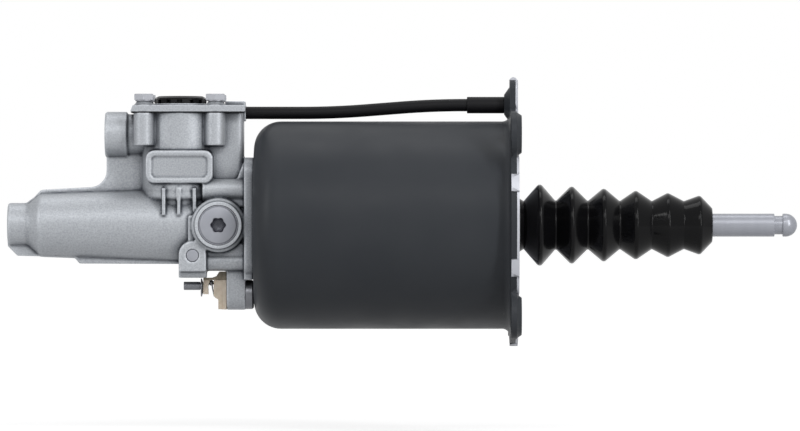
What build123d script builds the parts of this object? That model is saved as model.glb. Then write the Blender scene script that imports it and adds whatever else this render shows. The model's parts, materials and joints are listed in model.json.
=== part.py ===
from build123d import *
from math import atan2, cos, degrees, pi, sin, tan, radians
import os

# Air-assisted clutch servo. The X axis is the push rod's axis, pointing the way the rod leaves,
# and Z is up. The origin lies in the plane of the four mounting ears. Millimetres.

# Mounting flange of the steel cylinder
SHEET = 3.0
EAR_HALF_PITCH = 48.5
EAR_R = 12.2
EAR_STEP = 2.6
EAR_HOLE_R = 5.5
PAD_R = 10.0
PAD_SLOPE = 1.8
FLANGE_WIDTH = 8.0
FLANGE_FILLET = 4.0
TAB_REACH = 14.2
TAB_HALF_WIDTH = 12.0

# Steel cylinder
CYLINDER_R = 56.0
CYLINDER_LENGTH = 143.5
REAR_CORNER = 14.5

# Front cover
COVER_SHEET = 1.3
LIP_R = 2.15
LIP_HALF_WIDTH = 8.0
TROUGH_DEPTH = 11.6
TROUGH_WALL = 2.0
TROUGH_INNER_R = 32.0
COVER_HOLE_R = 12.5
CRIMP_WIDTH = 9.6
CRIMP_ANGLE = 20.5

# Bellows
FOLDS = 6
FOLD_PITCH = 17.3
FIRST_FOLD_X = 10.6
FIRST_FOLD_R = 22.1
FOLD_R_STEP = 1.22
ROOT_R = 13.0
BELLOWS_WALL = 2.0
BEAD_R = 15.2
NECK_LENGTH = 6.6

# Push rod
ROD_R = 6.2
ROD_REACH = 149.6
ROD_NECK_R = 5.0
GROOVE_WIDTH = 4.5
BALL_R = 9.0
ROD_WAIST_R = 5.4

# Air piston, plunger and push-rod socket
STOP_GAP = 0.3
RIM_LENGTH = 19.5
RIM_R = 52.4
RIM_WALL = 6.4
WEB = 5.0
BALL_DEPTH = 21.5
LINER_WALL = 2.0
LINER_LIP = 6.5
HUB_R = 17.0
HUB_BEHIND_BALL = 28.0
PLUNGER_R = 12.65
PLUNGER_LENGTH = 122.0
SPIGOT_R = 9.0
SPIGOT_LENGTH = 14.0
SLIDE_GAP = 0.05

# Cast housing: lengths are counted from its joint face with the cylinder
BARREL_R = 20.0
BARREL_DRAFT = 2.35
BARREL_LENGTH = 115.5
PORT_BOSS_LENGTH = 17.4
PORT_BOSS_R = 12.0
PORT_THREAD_R = 5.25
PORT_DEPTH = 14.0
CHAMBER_WALL = 21.4
FLANGE_PLATE = 5.0
WEB_RIB = 7.0
KEEL = 12.0
RIB = 1.9
VALVE_SETBACK = 39.8
TOWER_R = 21.0
TOWER_TOP = 60.6
INLET_Z = 48.9
INLET_R = 12.3
INLET_REACH = 80.4
INLET_THREAD_R = 7.25
SCREW_SPREAD_X = 19.2
SCREW_SPREAD_Y = 17.0
SCREW_BOSS_R = 5.5
SCREW_BOSS_LENGTH = 17.7
HEAD_HALF_DEPTH = 14.0
SCREW_R = 3.0
JOINT_SCREW_Y = 16.0
JOINT_SCREW_Z = 19.8
JOINT_SCREW_LENGTH = 20.0
CHANNEL_BOSS_R = 4.5
PLUG_SETBACK = 18.8
PLUG_BOSS_R = 12.6
PLUG_FACE_Y = 26.5
PLUG_R = 10.8
PLUG_RING_R = 9.5
PLUG_STAR_R = 4.15
EAR_SETBACK = 32.7
EAR_WIDTH = 14.8
EAR_TOP_Z = -8.5
EAR_STEP_Z = -28.3
EAR_FACE_Y = 23.0
GALLERY_R = 3.3
GALLERY_Z = -16.3
LUG_Y = -8.0
LUG_Z = -38.2
LUG_R = 7.4
LUG_LENGTH = 10.3
ADAPTER_LENGTH = 4.3
BLEED_Z = -32.7
BLEED_LENGTH = 12.6
PIN_R = 2.1
PIN_LENGTH = 16.9

# Control valve in the tower
CONTROL_BORE_R = 15.6
CONTROL_FLOOR_Z = 30.0
RELAY_R = 7.0
RELAY_FLOOR_Z = 20.0
CONTROL_DISC = 5.0
STEM_R = 4.6
SEAT_Z = 42.5
SEAT_HEIGHT = 3.5
SEAT_HOLE_R = 6.5
EXHAUST_GAP = 1.55
POPPET_R = 9.5
POPPET_TUBE_R = 5.0
POPPET_BORE_R = 3.2
GUIDE_Z = 55.5

# Valve cover
GASKET = 0.5
COVER_PLATE = 4.4
COVER_HALF_DEPTH = 19.5
COVER_LEFT = 66.2
COVER_RIGHT = 4.5
COVER_BOSS_RISE = 1.2
COVER_DOME_LENGTH = 10.9
WASHER = 0.6
HEX_FLATS = 10.0
HEX_HEIGHT = 3.3
COVER_SCREW_LENGTH = 18.0
CAP_R = 14.0
CAP_HEIGHT = 3.8
CAP_SLOTS = 12

# Breather tube
TUBE_R = 3.35
TUBE_WALL = 1.0
TUBE_LIFT = 8.8
TUBE_SLOPE_LENGTH = 54.0
SLEEVE_R = 4.45
SLEEVE_LENGTH = 20.0
DUCT_DEPTH = 3.0

# Worked out from the sizes above
FLANGE_X = -EAR_STEP
FLANGE_REAR_X = FLANGE_X - SHEET
FLANGE_R = CYLINDER_R + FLANGE_WIDTH
TAB_TOP = FLANGE_R + TAB_REACH
BORE_R = CYLINDER_R - SHEET
JOINT_X = -CYLINDER_LENGTH
WALL_X = JOINT_X + SHEET
COVER_X = FLANGE_X + COVER_SHEET
TROUGH_X = COVER_X - TROUGH_DEPTH
PISTON_X = TROUGH_X - COVER_SHEET - STOP_GAP
BALL_X = PISTON_X - BALL_DEPTH
HUB_REAR_X = BALL_X - HUB_BEHIND_BALL
PLUNGER_TIP_X = HUB_REAR_X - PLUNGER_LENGTH
BELLOWS_END_X = FIRST_FOLD_X + (FOLDS - 1) * FOLD_PITCH + NECK_LENGTH
BARREL_X = JOINT_X - BARREL_LENGTH
PORT_X = BARREL_X - PORT_BOSS_LENGTH
CHAMBER_X = PORT_X + CHAMBER_WALL
VALVE_X = JOINT_X - VALVE_SETBACK
PLUG_X = JOINT_X - PLUG_SETBACK
EAR_X = JOINT_X - EAR_SETBACK
PLATE_X = JOINT_X - FLANGE_PLATE
LUG_X = JOINT_X - ADAPTER_LENGTH
COVER_Z = TOWER_TOP + GASKET
COVER_TOP_Z = COVER_Z + COVER_PLATE
COVER_SEAT_Z = COVER_TOP_Z + COVER_BOSS_RISE
TUBE_LOW_Z = TOWER_TOP
TUBE_HIGH_Z = CYLINDER_R + TUBE_LIFT
LINER_R = BALL_R + SLIDE_GAP + LINER_WALL
CYLINDER_BORE = PLUNGER_R + 2 * SLIDE_GAP
GLAND_R = 16.5
GLAND_SPIGOT_R = 19.5
GLAND_X = JOINT_X - 12.5
BUSH_LENGTH = 8.0
RING_X = WALL_X - 2.4
FLANGE_RING_R = GLAND_SPIGOT_R + 0.85
AIR_HOLE_R = 3.4
AIR_HOLE_Z = 30.5
SEAL_X = PISTON_X - 16.5
SEAL_WIDTH = 5.0
SEAL_FLOOR_R = RIM_R - 3.8
BAND_X = PISTON_X - 7.5
BAND_WIDTH = 4.0
BAND_FLOOR_R = RIM_R - 1.6
CLIP_X = BALL_X + LINER_LIP + 0.4
CLIP_WIDTH = 1.2
EAR_CORNERS = [(y, z) for y in (-EAR_HALF_PITCH, EAR_HALF_PITCH) for z in (-EAR_HALF_PITCH, EAR_HALF_PITCH)]
COVER_SCREWS = [
    (VALVE_X + x, y)
    for x in (-SCREW_SPREAD_X, SCREW_SPREAD_X)
    for y in (-SCREW_SPREAD_Y, SCREW_SPREAD_Y)
]
JOINT_SCREWS = [(y, z) for y in (-JOINT_SCREW_Y, JOINT_SCREW_Y) for z in (-JOINT_SCREW_Z, JOINT_SCREW_Z)]


# Shapes that recur

def outline(corners, rounds=None):
    """A closed face through its corners; rounds gives a radius for a corner by its number."""
    radii = [0.0] * len(corners)
    for number, radius in (rounds or {}).items():
        radii[number] = radius
    if not any(radii):
        return make_face(Polyline(*corners, close=True))
    return make_face(FilletPolyline(*corners, radius=radii, close=True))


def turned(corners, rounds=None):
    """A piece turned about the X axis, from corners given as (x, radius)."""
    return revolve(Plane.XZ * outline(corners, rounds), Axis.X)


def upright(corners, rounds=None):
    """A piece turned about the control valve's vertical axis, from corners as (radius, z)."""
    return Pos(VALVE_X, 0, 0) * revolve(Plane.XZ * outline(corners, rounds), Axis.Z)


def side_plate(corners, y_from, y_to, rounds=None):
    """A plate seen in the side view, from corners as (x, z), between two depths."""
    face = Plane.XZ * outline(corners, rounds)
    return Pos(0, y_to, 0) * extrude(face, y_to - y_from)


def rod_x(radius, x_from, x_to, y=0.0, z=0.0):
    """A round bar along X."""
    return Pos((x_from + x_to) / 2, y, z) * Rot(0, 90, 0) * Cylinder(radius, x_to - x_from)


def rod_y(radius, y_from, y_to, x, z):
    """A round bar along Y."""
    return Pos(x, (y_from + y_to) / 2, z) * Rot(90, 0, 0) * Cylinder(radius, y_to - y_from)


def rod_z(radius, z_from, z_to, x, y):
    """A round bar along Z."""
    return Pos(x, y, (z_from + z_to) / 2) * Cylinder(radius, z_to - z_from)


def block(x_from, x_to, y_from, y_to, z_from, z_to):
    """A square bar between its faces."""
    centre = Pos((x_from + x_to) / 2, (y_from + y_to) / 2, (z_from + z_to) / 2)
    return centre * Box(x_to - x_from, y_to - y_from, z_to - z_from)


def ring_x(outer_r, inner_r, x_from, x_to):
    """A flat ring about the X axis."""
    return rod_x(outer_r, x_from, x_to) - rod_x(inner_r, x_from, x_to)


def o_ring_x(mean_r, wire_r, x):
    """A rubber ring of round section about the X axis."""
    return revolve(Plane.XZ * Pos(x, mean_r) * Circle(wire_r), Axis.X)


def o_ring_z(mean_r, wire_r, z):
    """A rubber ring of round section about the control valve's axis."""
    return Pos(VALVE_X, 0, 0) * revolve(Plane.XZ * Pos(mean_r, z) * Circle(wire_r), Axis.Z)


def coil(start_r, end_r, length, turns, wire_r):
    """A spring of round wire along +Z from the origin, conical where its ends differ."""
    lean = degrees(atan2(end_r - start_r, length))
    line = Helix(length / turns, length, start_r, cone_angle=lean)
    section = Plane(origin=line @ 0, z_dir=line % 0) * Circle(wire_r)
    return sweep(section, path=line, is_frenet=True)


def write(node, shape):
    """Write one piece under its own name."""
    export_step(shape, "parts/" + node + ".step")


# Steel cylinder

def cylinder_cup():
    """Deep-drawn cup with a rounded rear corner and a flare into the flange."""
    lip = FLANGE_R - 1
    outer = turned(
        [(JOINT_X, 0), (JOINT_X, CYLINDER_R), (FLANGE_REAR_X, CYLINDER_R), (FLANGE_REAR_X, lip),
         (FLANGE_X, lip), (FLANGE_X, 0)],
        {1: REAR_CORNER, 2: FLANGE_FILLET},
    )
    inner = turned(
        [(WALL_X, 0), (WALL_X, BORE_R), (FLANGE_X, BORE_R), (FLANGE_X, FLANGE_R + 9),
         (9, FLANGE_R + 9), (9, 0)],
        {1: REAR_CORNER - SHEET, 2: FLANGE_FILLET + SHEET},
    )
    return outer - inner


def flange_outline(ear_r, tab_half_width, tab_top):
    """Flange seen along the rod: a disc with four ears and a top tab."""
    shape = Circle(FLANGE_R)
    for y, z in EAR_CORNERS:
        arm = Rot(0, 0, degrees(atan2(z, y))) * Pos(EAR_HALF_PITCH * 0.6, 0) * Rectangle(
            EAR_HALF_PITCH * 1.63, 2 * ear_r
        )
        shape += arm + Pos(y, z) * Circle(ear_r)
    return shape + Pos(0, tab_top / 2) * RectangleRounded(2 * tab_half_width, tab_top, 5)


def duct_bulge(base_x, half_width, top, bottom):
    """Pressed air channel of the tab, with slanted sides, standing back from base_x."""
    face = Pos(0, (top + bottom) / 2) * RectangleRounded(2 * half_width, top - bottom, 6)
    base = Plane(origin=(base_x, 0, 0), x_dir=(0, -1, 0), z_dir=(-1, 0, 0))
    return extrude(base * face, DUCT_DEPTH, taper=55)


def ear_pad(y, z):
    """Pressed pad of an ear, standing in front of the flange."""
    foot_r = PAD_R + PAD_SLOPE
    return Pos(FLANGE_X / 2, y, z) * Rot(0, 90, 0) * Cone(foot_r, PAD_R, EAR_STEP)


def ear_dimple(y, z):
    """Hollow behind an ear's pad, one sheet inside it."""
    depth = EAR_STEP
    centre_x = FLANGE_REAR_X + depth / 2
    return Pos(centre_x, y, z) * Rot(0, 90, 0) * Cone(PAD_R + PAD_SLOPE - 1.2, PAD_R - 1.2, depth)


def cylinder_shell():
    """Air cylinder: cup, flange, ears and air duct in one pressed sheet."""
    flange = extrude(Plane.YZ * flange_outline(EAR_R, TAB_HALF_WIDTH, TAB_TOP), SHEET)
    flange = Pos(FLANGE_REAR_X, 0, 0) * flange - rod_x(FLANGE_R - 2, FLANGE_REAR_X - 1, FLANGE_X + 1)
    shell = cylinder_cup() + flange
    shell += duct_bulge(FLANGE_REAR_X, 9.5, TAB_TOP - 3.5, CYLINDER_R - 0.5)
    shell -= duct_bulge(FLANGE_X, 8.6, TAB_TOP - 4.4, CYLINDER_R + 0.5)
    for y, z in EAR_CORNERS:
        shell = shell + ear_pad(y, z) - ear_dimple(y, z)
        shell -= rod_x(EAR_HOLE_R, FLANGE_REAR_X - 1, 1, y, z)
    shell -= rod_x(TUBE_R + 0.1, FLANGE_REAR_X - DUCT_DEPTH - 1, FLANGE_REAR_X + 1, 0, TUBE_HIGH_Z)
    shell -= rod_x(GLAND_SPIGOT_R + 0.1, JOINT_X - 1, WALL_X + 1)
    for y, z in JOINT_SCREWS:
        shell -= rod_x(SCREW_R + 0.3, JOINT_X - 1, WALL_X + 1, y, z)
    shell -= rod_x(AIR_HOLE_R, JOINT_X - 1, WALL_X + 1, 0, AIR_HOLE_Z)
    shell -= rod_x(1.5, JOINT_X - 1, WALL_X + 1, LUG_Y, LUG_Z)
    return shell


# Front cover

def trough_outer_r():
    """Outer radius of the cover's trough; the gap round it lets the front chamber breathe."""
    return BORE_R - 0.6


def cover_disc():
    """Pressed disc with an annular trough that stops the piston."""
    r = trough_outer_r()
    q = TROUGH_INNER_R
    t = COVER_SHEET
    w = TROUGH_WALL / 2
    front = [(COVER_X, COVER_HOLE_R), (COVER_X, q - w), (TROUGH_X, q + w), (TROUGH_X, r - t - w)]
    front += [(COVER_X, r - t), (COVER_X, FLANGE_R)]
    rear = [(FLANGE_X, FLANGE_R), (FLANGE_X, r), (TROUGH_X - t, r - w), (TROUGH_X - t, q + w - t)]
    rear += [(FLANGE_X, q - w - t), (FLANGE_X, COVER_HOLE_R)]
    return turned(front + rear, {1: 2.4, 2: 1.2, 3: 1.2, 4: 2.4, 7: 1.1, 8: 2.4, 9: 2.4, 10: 1.1})


def crimp_tab(angle):
    """Tab of the cover bent over the flange's rim; the angle is counted from -Y towards +Z."""
    band = ring_x(FLANGE_R + COVER_SHEET, FLANGE_R, FLANGE_REAR_X, COVER_X)
    reach = FLANGE_R + COVER_SHEET
    tab = band & block(FLANGE_REAR_X - 1, 1, -reach - 1, -reach / 2, -CRIMP_WIDTH / 2, CRIMP_WIDTH / 2)
    return Rot(-angle, 0, 0) * tab


def top_lip():
    """Lip of the cover rolled over the top tab."""
    centre_x = FLANGE_X - COVER_SHEET + 0.15
    centre_z = TAB_TOP + COVER_SHEET + 0.25 - LIP_R
    bead = rod_y(LIP_R, -LIP_HALF_WIDTH, LIP_HALF_WIDTH, centre_x, centre_z)
    inside = block(
        centre_x - 2 * LIP_R, FLANGE_X, -TAB_HALF_WIDTH, TAB_HALF_WIDTH, centre_z - 2 * LIP_R, TAB_TOP
    )
    return bead - inside


def front_cover():
    """Zinc-plated cover of the cylinder, cut away round the ears."""
    height = TAB_REACH + 4
    face = Pos(0, TAB_TOP - height / 2) * RectangleRounded(2 * TAB_HALF_WIDTH, height, 5)
    tab = Pos(FLANGE_X, 0, 0) * extrude(Plane.YZ * face, COVER_SHEET)
    cover = cover_disc() + tab + top_lip()
    for y, z in EAR_CORNERS:
        cover -= rod_x(PAD_R + PAD_SLOPE + 1.0, FLANGE_X - 1, 1, y, z)
    for angle in (CRIMP_ANGLE, -CRIMP_ANGLE, 180 + CRIMP_ANGLE, 180 - CRIMP_ANGLE, -90):
        cover += crimp_tab(angle)
    return cover


# Bellows and push rod

def fold_corners(inset):
    """Crests and roots of the folds as (x, radius), moved inwards by the wall."""
    corners = []
    for fold in range(FOLDS):
        x = FIRST_FOLD_X + fold * FOLD_PITCH
        corners.append((x, FIRST_FOLD_R - fold * FOLD_R_STEP - inset))
        if fold < FOLDS - 1:
            corners.append((x + FOLD_PITCH / 2, ROOT_R - inset))
    return corners


def bellows():
    """Rubber boot with six folds, held by its bead in the cover's hole."""
    lip_x = COVER_X + SLIDE_GAP
    groove_x = FLANGE_X - SLIDE_GAP
    bead_x = groove_x - 2.6
    groove_r = COVER_HOLE_R - SLIDE_GAP
    inside_r = groove_r - 1.9
    grip_r = ROD_R + SLIDE_GAP
    corners = [(bead_x, inside_r), (bead_x, BEAD_R), (groove_x, BEAD_R), (groove_x, groove_r)]
    corners += [(lip_x, groove_r), (lip_x, BEAD_R - 0.9), (lip_x + 1.2, BEAD_R - 0.9), (lip_x + 2.7, ROOT_R)]
    outside = fold_corners(0.0)
    rounds = {7: 0.6}
    for number, corner in enumerate(outside):
        rounds[len(corners) + number] = 1.3 if corner[1] > ROOT_R else 0.7
    corners += outside
    corners += [(BELLOWS_END_X - 0.4, grip_r + 3.4), (BELLOWS_END_X, grip_r + 3.0), (BELLOWS_END_X, grip_r)]
    corners += [(BELLOWS_END_X - 3.5, grip_r), (BELLOWS_END_X - 3.5, grip_r + 3.0)]
    return turned(corners + fold_corners(BELLOWS_WALL)[::-1] + [(lip_x + 2.7, inside_r)], rounds)


def push_rod():
    """Steel rod with a ball in the piston, a groove and a round tip."""
    tip_x = ROD_REACH - ROD_R
    groove_end_x = tip_x - 1.6
    groove_x = groove_end_x - GROOVE_WIDTH
    waist_x = BALL_X + BALL_R + 2.5
    start_x = BALL_X + (BALL_R**2 - ROD_WAIST_R**2) ** 0.5 - 0.5
    shank = turned(
        [(start_x, 0), (start_x, ROD_WAIST_R), (waist_x, ROD_WAIST_R), (waist_x + 1.2, ROD_R),
         (groove_x, ROD_R), (groove_x, ROD_NECK_R), (groove_end_x, ROD_NECK_R), (groove_end_x, ROD_R),
         (tip_x, ROD_R), (tip_x, 0)]
    )
    return shank + Pos(tip_x, 0, 0) * Sphere(ROD_R) + Pos(BALL_X, 0, 0) * Sphere(BALL_R)


# Air piston and plunger

def air_piston():
    """Piston with a rim for its seals, a web and the hub of the push-rod socket."""
    rim_rear = PISTON_X - RIM_LENGTH
    rim_inner = RIM_R - RIM_WALL
    web_x = PISTON_X - 8.0
    corners = [(PISTON_X, HUB_R), (web_x, HUB_R), (web_x, rim_inner), (PISTON_X, rim_inner), (PISTON_X, RIM_R)]
    corners += [(rim_rear, RIM_R), (rim_rear, rim_inner), (web_x - WEB, rim_inner), (web_x - WEB, HUB_R)]
    corners += [(HUB_REAR_X, HUB_R), (HUB_REAR_X, SPIGOT_R + SLIDE_GAP)]
    corners += [(HUB_REAR_X + SPIGOT_LENGTH, SPIGOT_R + SLIDE_GAP), (HUB_REAR_X + SPIGOT_LENGTH, 0)]
    corners += [(PISTON_X, 0)]
    body = turned(corners, {1: 2.0, 2: 2.0, 7: 2.0, 8: 3.0, 9: 1.0})
    body -= Pos(BALL_X, 0, 0) * Sphere(LINER_R + SLIDE_GAP)
    body -= rod_x(LINER_R + SLIDE_GAP, BALL_X, PISTON_X + 1)
    body -= rod_x(LINER_R + 1.3, CLIP_X - SLIDE_GAP, CLIP_X + CLIP_WIDTH + SLIDE_GAP)
    body -= ring_x(RIM_R + 1, SEAL_FLOOR_R, SEAL_X, SEAL_X + SEAL_WIDTH)
    return body - ring_x(RIM_R + 1, BAND_FLOOR_R, BAND_X, BAND_X + BAND_WIDTH)


def piston_seal():
    """Lip seal of the piston, open towards the air side."""
    x0 = SEAL_X + SLIDE_GAP
    x1 = SEAL_X + SEAL_WIDTH - SLIDE_GAP
    r0 = SEAL_FLOOR_R + SLIDE_GAP
    r1 = BORE_R - SLIDE_GAP
    return turned(
        [(x0, r0), (x1, r0), (x1, r1 - 0.8), (x0 + 1.4, r1), (x0, r1), (x0, r1 - 1.0),
         (x0 + 2.0, r0 + 2.1), (x0, r0 + 1.3)]
    )


def piston_guide_ring():
    """Plastic band that guides the piston in the cylinder."""
    end_x = BAND_X + BAND_WIDTH - SLIDE_GAP
    return ring_x(BORE_R - SLIDE_GAP, BAND_FLOOR_R + SLIDE_GAP, BAND_X + SLIDE_GAP, end_x)


def plunger():
    """Hydraulic plunger with a spigot in the piston's hub and a groove for its seal."""
    tip = PLUNGER_TIP_X
    groove = tip + 4.5
    floor_r = PLUNGER_R - 2.8
    corners = [(tip, 0), (tip, PLUNGER_R - 1.2), (tip + 1.2, PLUNGER_R), (groove, PLUNGER_R)]
    corners += [(groove, floor_r), (groove + 4.6, floor_r), (groove + 4.6, PLUNGER_R), (HUB_REAR_X, PLUNGER_R)]
    corners += [(HUB_REAR_X, SPIGOT_R), (HUB_REAR_X + SPIGOT_LENGTH - 0.5, SPIGOT_R)]
    return turned(corners + [(HUB_REAR_X + SPIGOT_LENGTH - 0.5, 0)])


def plunger_seal():
    """Cup seal of the plunger."""
    x0 = PLUNGER_TIP_X + 4.5 + SLIDE_GAP
    x1 = x0 + 4.6 - 2 * SLIDE_GAP
    r0 = PLUNGER_R - 2.8 + SLIDE_GAP
    r1 = CYLINDER_BORE - SLIDE_GAP
    return turned(
        [(x0, r0), (x1, r0), (x1, r1 - 0.3), (x0 + 0.8, r1), (x0, r1), (x0, r1 - 0.7),
         (x0 + 1.6, r0 + 1.2), (x0, r0 + 0.7)]
    )


def rod_seat():
    """Plastic liner between the push rod's ball and the hub."""
    liner = Sphere(LINER_R) - Sphere(BALL_R + SLIDE_GAP)
    front = block(LINER_LIP, LINER_R + 1, -LINER_R, LINER_R, -LINER_R, LINER_R)
    return Pos(BALL_X, 0, 0) * (liner - front)


def seat_clip():
    """Retaining ring in front of the liner."""
    return ring_x(LINER_R + 1.2, LINER_R - 3.0, CLIP_X, CLIP_X + CLIP_WIDTH)


# Gland between housing and cylinder

def guide_bush():
    """Bush that guides the plunger."""
    return ring_x(GLAND_R - 0.05, PLUNGER_R + SLIDE_GAP, GLAND_X, GLAND_X + BUSH_LENGTH)


def gland_seal():
    """Rubber seal beside the bush, with a lip on the plunger."""
    x0 = GLAND_X + BUSH_LENGTH + 0.1
    x1 = x0 + 4.6
    r0 = PLUNGER_R + SLIDE_GAP
    r1 = GLAND_R - 0.05
    return turned([(x0, r0), (x0 + 1.2, r0), (x0 + 2.6, r0 + 0.9), (x1, r0 + 0.9), (x1, r1), (x0, r1)])


def gland_ring():
    """Spring ring that holds the seal in."""
    return ring_x(GLAND_R + 0.75, PLUNGER_R + 0.75, RING_X, RING_X + 1.2)


# Cast housing

def barrel():
    """Hydraulic barrel, tapering to the port boss."""
    small_r = BARREL_R - (BARREL_LENGTH - FLANGE_PLATE) * tan(radians(BARREL_DRAFT)) * 0.62
    corners = [(PORT_X, 0), (PORT_X, PORT_BOSS_R - 0.9), (PORT_X + 0.9, PORT_BOSS_R)]
    corners += [(BARREL_X - 6.5, PORT_BOSS_R), (BARREL_X, small_r), (VALVE_X, BARREL_R)]
    corners += [(PLATE_X + 1, BARREL_R), (PLATE_X + 1, 0)]
    return turned(corners, {3: 4.0, 4: 4.5})


def ribs_along():
    """Rib on top of the barrel up to the inlet boss, and the two steps of the keel."""
    top = side_plate(
        [(BARREL_X - 7.2, 8), (BARREL_X - 7.2, 12.2), (BARREL_X - 3.0, 15.2), (BARREL_X + 0.5, 19.1),
         (BARREL_X + 35.9, 21.0), (BARREL_X + 35.9, INLET_Z), (VALVE_X, INLET_Z), (VALVE_X, 8)],
        -WEB_RIB / 2, WEB_RIB / 2, {2: 3.0, 3: 3.0, 4: 9.0},
    )
    keel_1 = side_plate(
        [(PORT_X, -4), (PORT_X, -11.2), (PORT_X + 5.3, -16.5), (BARREL_X + 20, -17.4), (BARREL_X + 20, -4)],
        -KEEL / 2 + 0.5, KEEL / 2 - 0.5,
    )
    keel_2 = side_plate(
        [(BARREL_X + 18.4, -10), (BARREL_X + 18.4, -17.2), (BARREL_X + 21.4, -20.7), (EAR_X, -21.0), (EAR_X, -10)],
        -KEEL / 2, KEEL / 2,
    )
    return top + keel_1 + keel_2


def inlet_boss():
    """Round boss of the air supply port on the tower's left."""
    end_x = JOINT_X - INLET_REACH
    boss = rod_x(INLET_R, end_x, end_x + 11.9, 0, INLET_Z)
    boss = chamfer(boss.edges().group_by(Axis.X)[0], 0.8)
    return boss + rod_x(INLET_R - 1.3, end_x + 11.8, VALVE_X, 0, INLET_Z)


def valve_tower():
    """Upright tower of the control valve, with the four screw bosses of its cover."""
    tower = upright([(0, 6), (15.5, 6), (TOWER_R, 19), (TOWER_R, TOWER_TOP), (0, TOWER_TOP)], {2: 5.0})
    low_z = TOWER_TOP - SCREW_BOSS_LENGTH
    core = block(
        VALVE_X - SCREW_SPREAD_X, VALVE_X + SCREW_SPREAD_X, -HEAD_HALF_DEPTH, HEAD_HALF_DEPTH, low_z + 0.8, TOWER_TOP
    )
    return tower + [core] + [rod_z(SCREW_BOSS_R, low_z, TOWER_TOP, x, y) for x, y in COVER_SCREWS]


def tower_side_block():
    """Block on the tower's right with the air passage to the cylinder."""
    right_x = JOINT_X - 5.6
    low_z = JOINT_SCREW_Z + 1.5
    corners = [(VALVE_X + 12, low_z), (right_x - 1.6, low_z), (right_x - 1.6, 29.6), (right_x, 32.5)]
    corners += [(right_x, TOWER_TOP), (VALVE_X + 12, TOWER_TOP)]
    side = side_plate(corners, -13.5, 13.5)
    edges = side.edges().filter_by(Axis.Z).group_by(Axis.X)[-1]
    side = fillet(edges, 3.0)
    return side + block(right_x - 3, PLATE_X + 1, -8, 8, AIR_HOLE_Z - 6, AIR_HOLE_Z + 5.5)


def blank_pad():
    """Plain raised pad on the tower's front with a shallow recess."""
    pad = Pos(VALVE_X, -TOWER_R - 1.4, 31.4) * Rot(90, 0, 0) * extrude(RectangleRounded(36, 17.5, 4.5), -9)
    recess = Pos(VALVE_X, -TOWER_R - 1.4, 31.4) * Rot(90, 0, 0) * extrude(RectangleRounded(31, 12.5, 3), -0.8)
    return pad, recess


def front_ribs():
    """Three tapering ribs from the tower's foot down the barrel, on both sides."""
    ribs = []
    for step, low_z in ((-8.4, 5.4), (-0.3, 5.6), (8.1, 7.4)):
        face = outline([(-TOWER_R - 0.6, 20), (-BARREL_R - 0.4, low_z), (-BARREL_R + 3, low_z), (-10, 20)])
        rib = Pos(VALVE_X + step - RIB / 2, 0, 0) * extrude(Plane.YZ * face, RIB)
        ribs.append(rib)
        ribs.append(mirror(rib, Plane.XZ))
    return ribs


def screw_bosses():
    """Four bosses along the barrel for the screws from the cylinder, with their webs."""
    bosses = []
    left_x = JOINT_X - 25.5
    for y, z in JOINT_SCREWS:
        bosses.append(rod_x(CHANNEL_BOSS_R, left_x, PLATE_X + 1, y, z))
        low, high = sorted((z * 0.5, z))
        bosses.append(block(left_x + 0.5, PLATE_X + 1, y - 3.2, y + 3.2, low, high))
    return bosses


def plug_boss():
    """Round boss of the side plug, with its base ring and two short ribs."""
    boss = rod_y(PLUG_BOSS_R, -PLUG_FACE_Y, -4, PLUG_X, 0)
    boss = chamfer(boss.edges().group_by(Axis.Y)[0], 0.7)
    base = rod_y(PLUG_BOSS_R + 2.0, -PLUG_FACE_Y + 3, -4, PLUG_X, 0)
    base = fillet(base.edges().group_by(Axis.Y)[0], 1.5)
    link = block(PLUG_X + 10, PLATE_X + 1, -PLUG_FACE_Y + 3.5, -10, -2.3, 2.1)
    bar = side_plate(
        [(EAR_X - 2.4, -12), (EAR_X - 2.4, 5.4), (EAR_X + 0.4, 5.4), (EAR_X + 0.4, -12)],
        -BARREL_R - 1.6, -14, {1: 1.3, 2: 1.3},
    )
    return boss + base + link + bar


def ear_boss():
    """Ear under the barrel with the plugged cross hole, and the step below it."""
    half = EAR_WIDTH / 2
    foot_z = -24.8
    ear = side_plate(
        [(EAR_X - half, foot_z), (EAR_X + half, foot_z), (EAR_X + half, EAR_TOP_Z), (EAR_X - half, EAR_TOP_Z)],
        -EAR_FACE_Y, -6, {2: half - 0.02, 3: half - 0.02},
    )
    step = block(EAR_X - half - 0.1, EAR_X + half + 0.1, -EAR_FACE_Y + 4, -6.5, EAR_STEP_Z, foot_z + 4)
    return [ear, fillet(step.edges().filter_by(Axis.X).group_by(Axis.Z)[0], 3.0)]


def lug():
    """Lug below the flange plate for the bleed fitting, and the arm that carries it."""
    left_x = LUG_X - LUG_LENGTH
    arm = block(EAR_X + 6, LUG_X - 0.3, LUG_Y - 7, LUG_Y + 7, -24.6, -17)
    near = LUG_Y - LUG_R
    far = LUG_Y + LUG_R
    low_z = LUG_Z - LUG_R
    body = outline([(near, low_z), (far, low_z), (far, -22), (near, -22)], {0: LUG_R - 0.02, 1: LUG_R - 0.02})
    return [arm, Pos(left_x, 0, 0) * extrude(Plane.YZ * body, LUG_LENGTH)]


def flange_plate():
    """Plate that seats on the cylinder's rear wall, with the gland's spigot."""
    wide = outline([(-24, -27), (24, -27), (24, 36.4), (-24, 36.4)], {0: 7.0, 1: 7.0, 2: 9.0, 3: 9.0})
    plate = Pos(PLATE_X, 0, 0) * extrude(Plane.YZ * wide, FLANGE_PLATE)
    return plate + rod_x(GLAND_SPIGOT_R, JOINT_X - 1, WALL_X)


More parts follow.
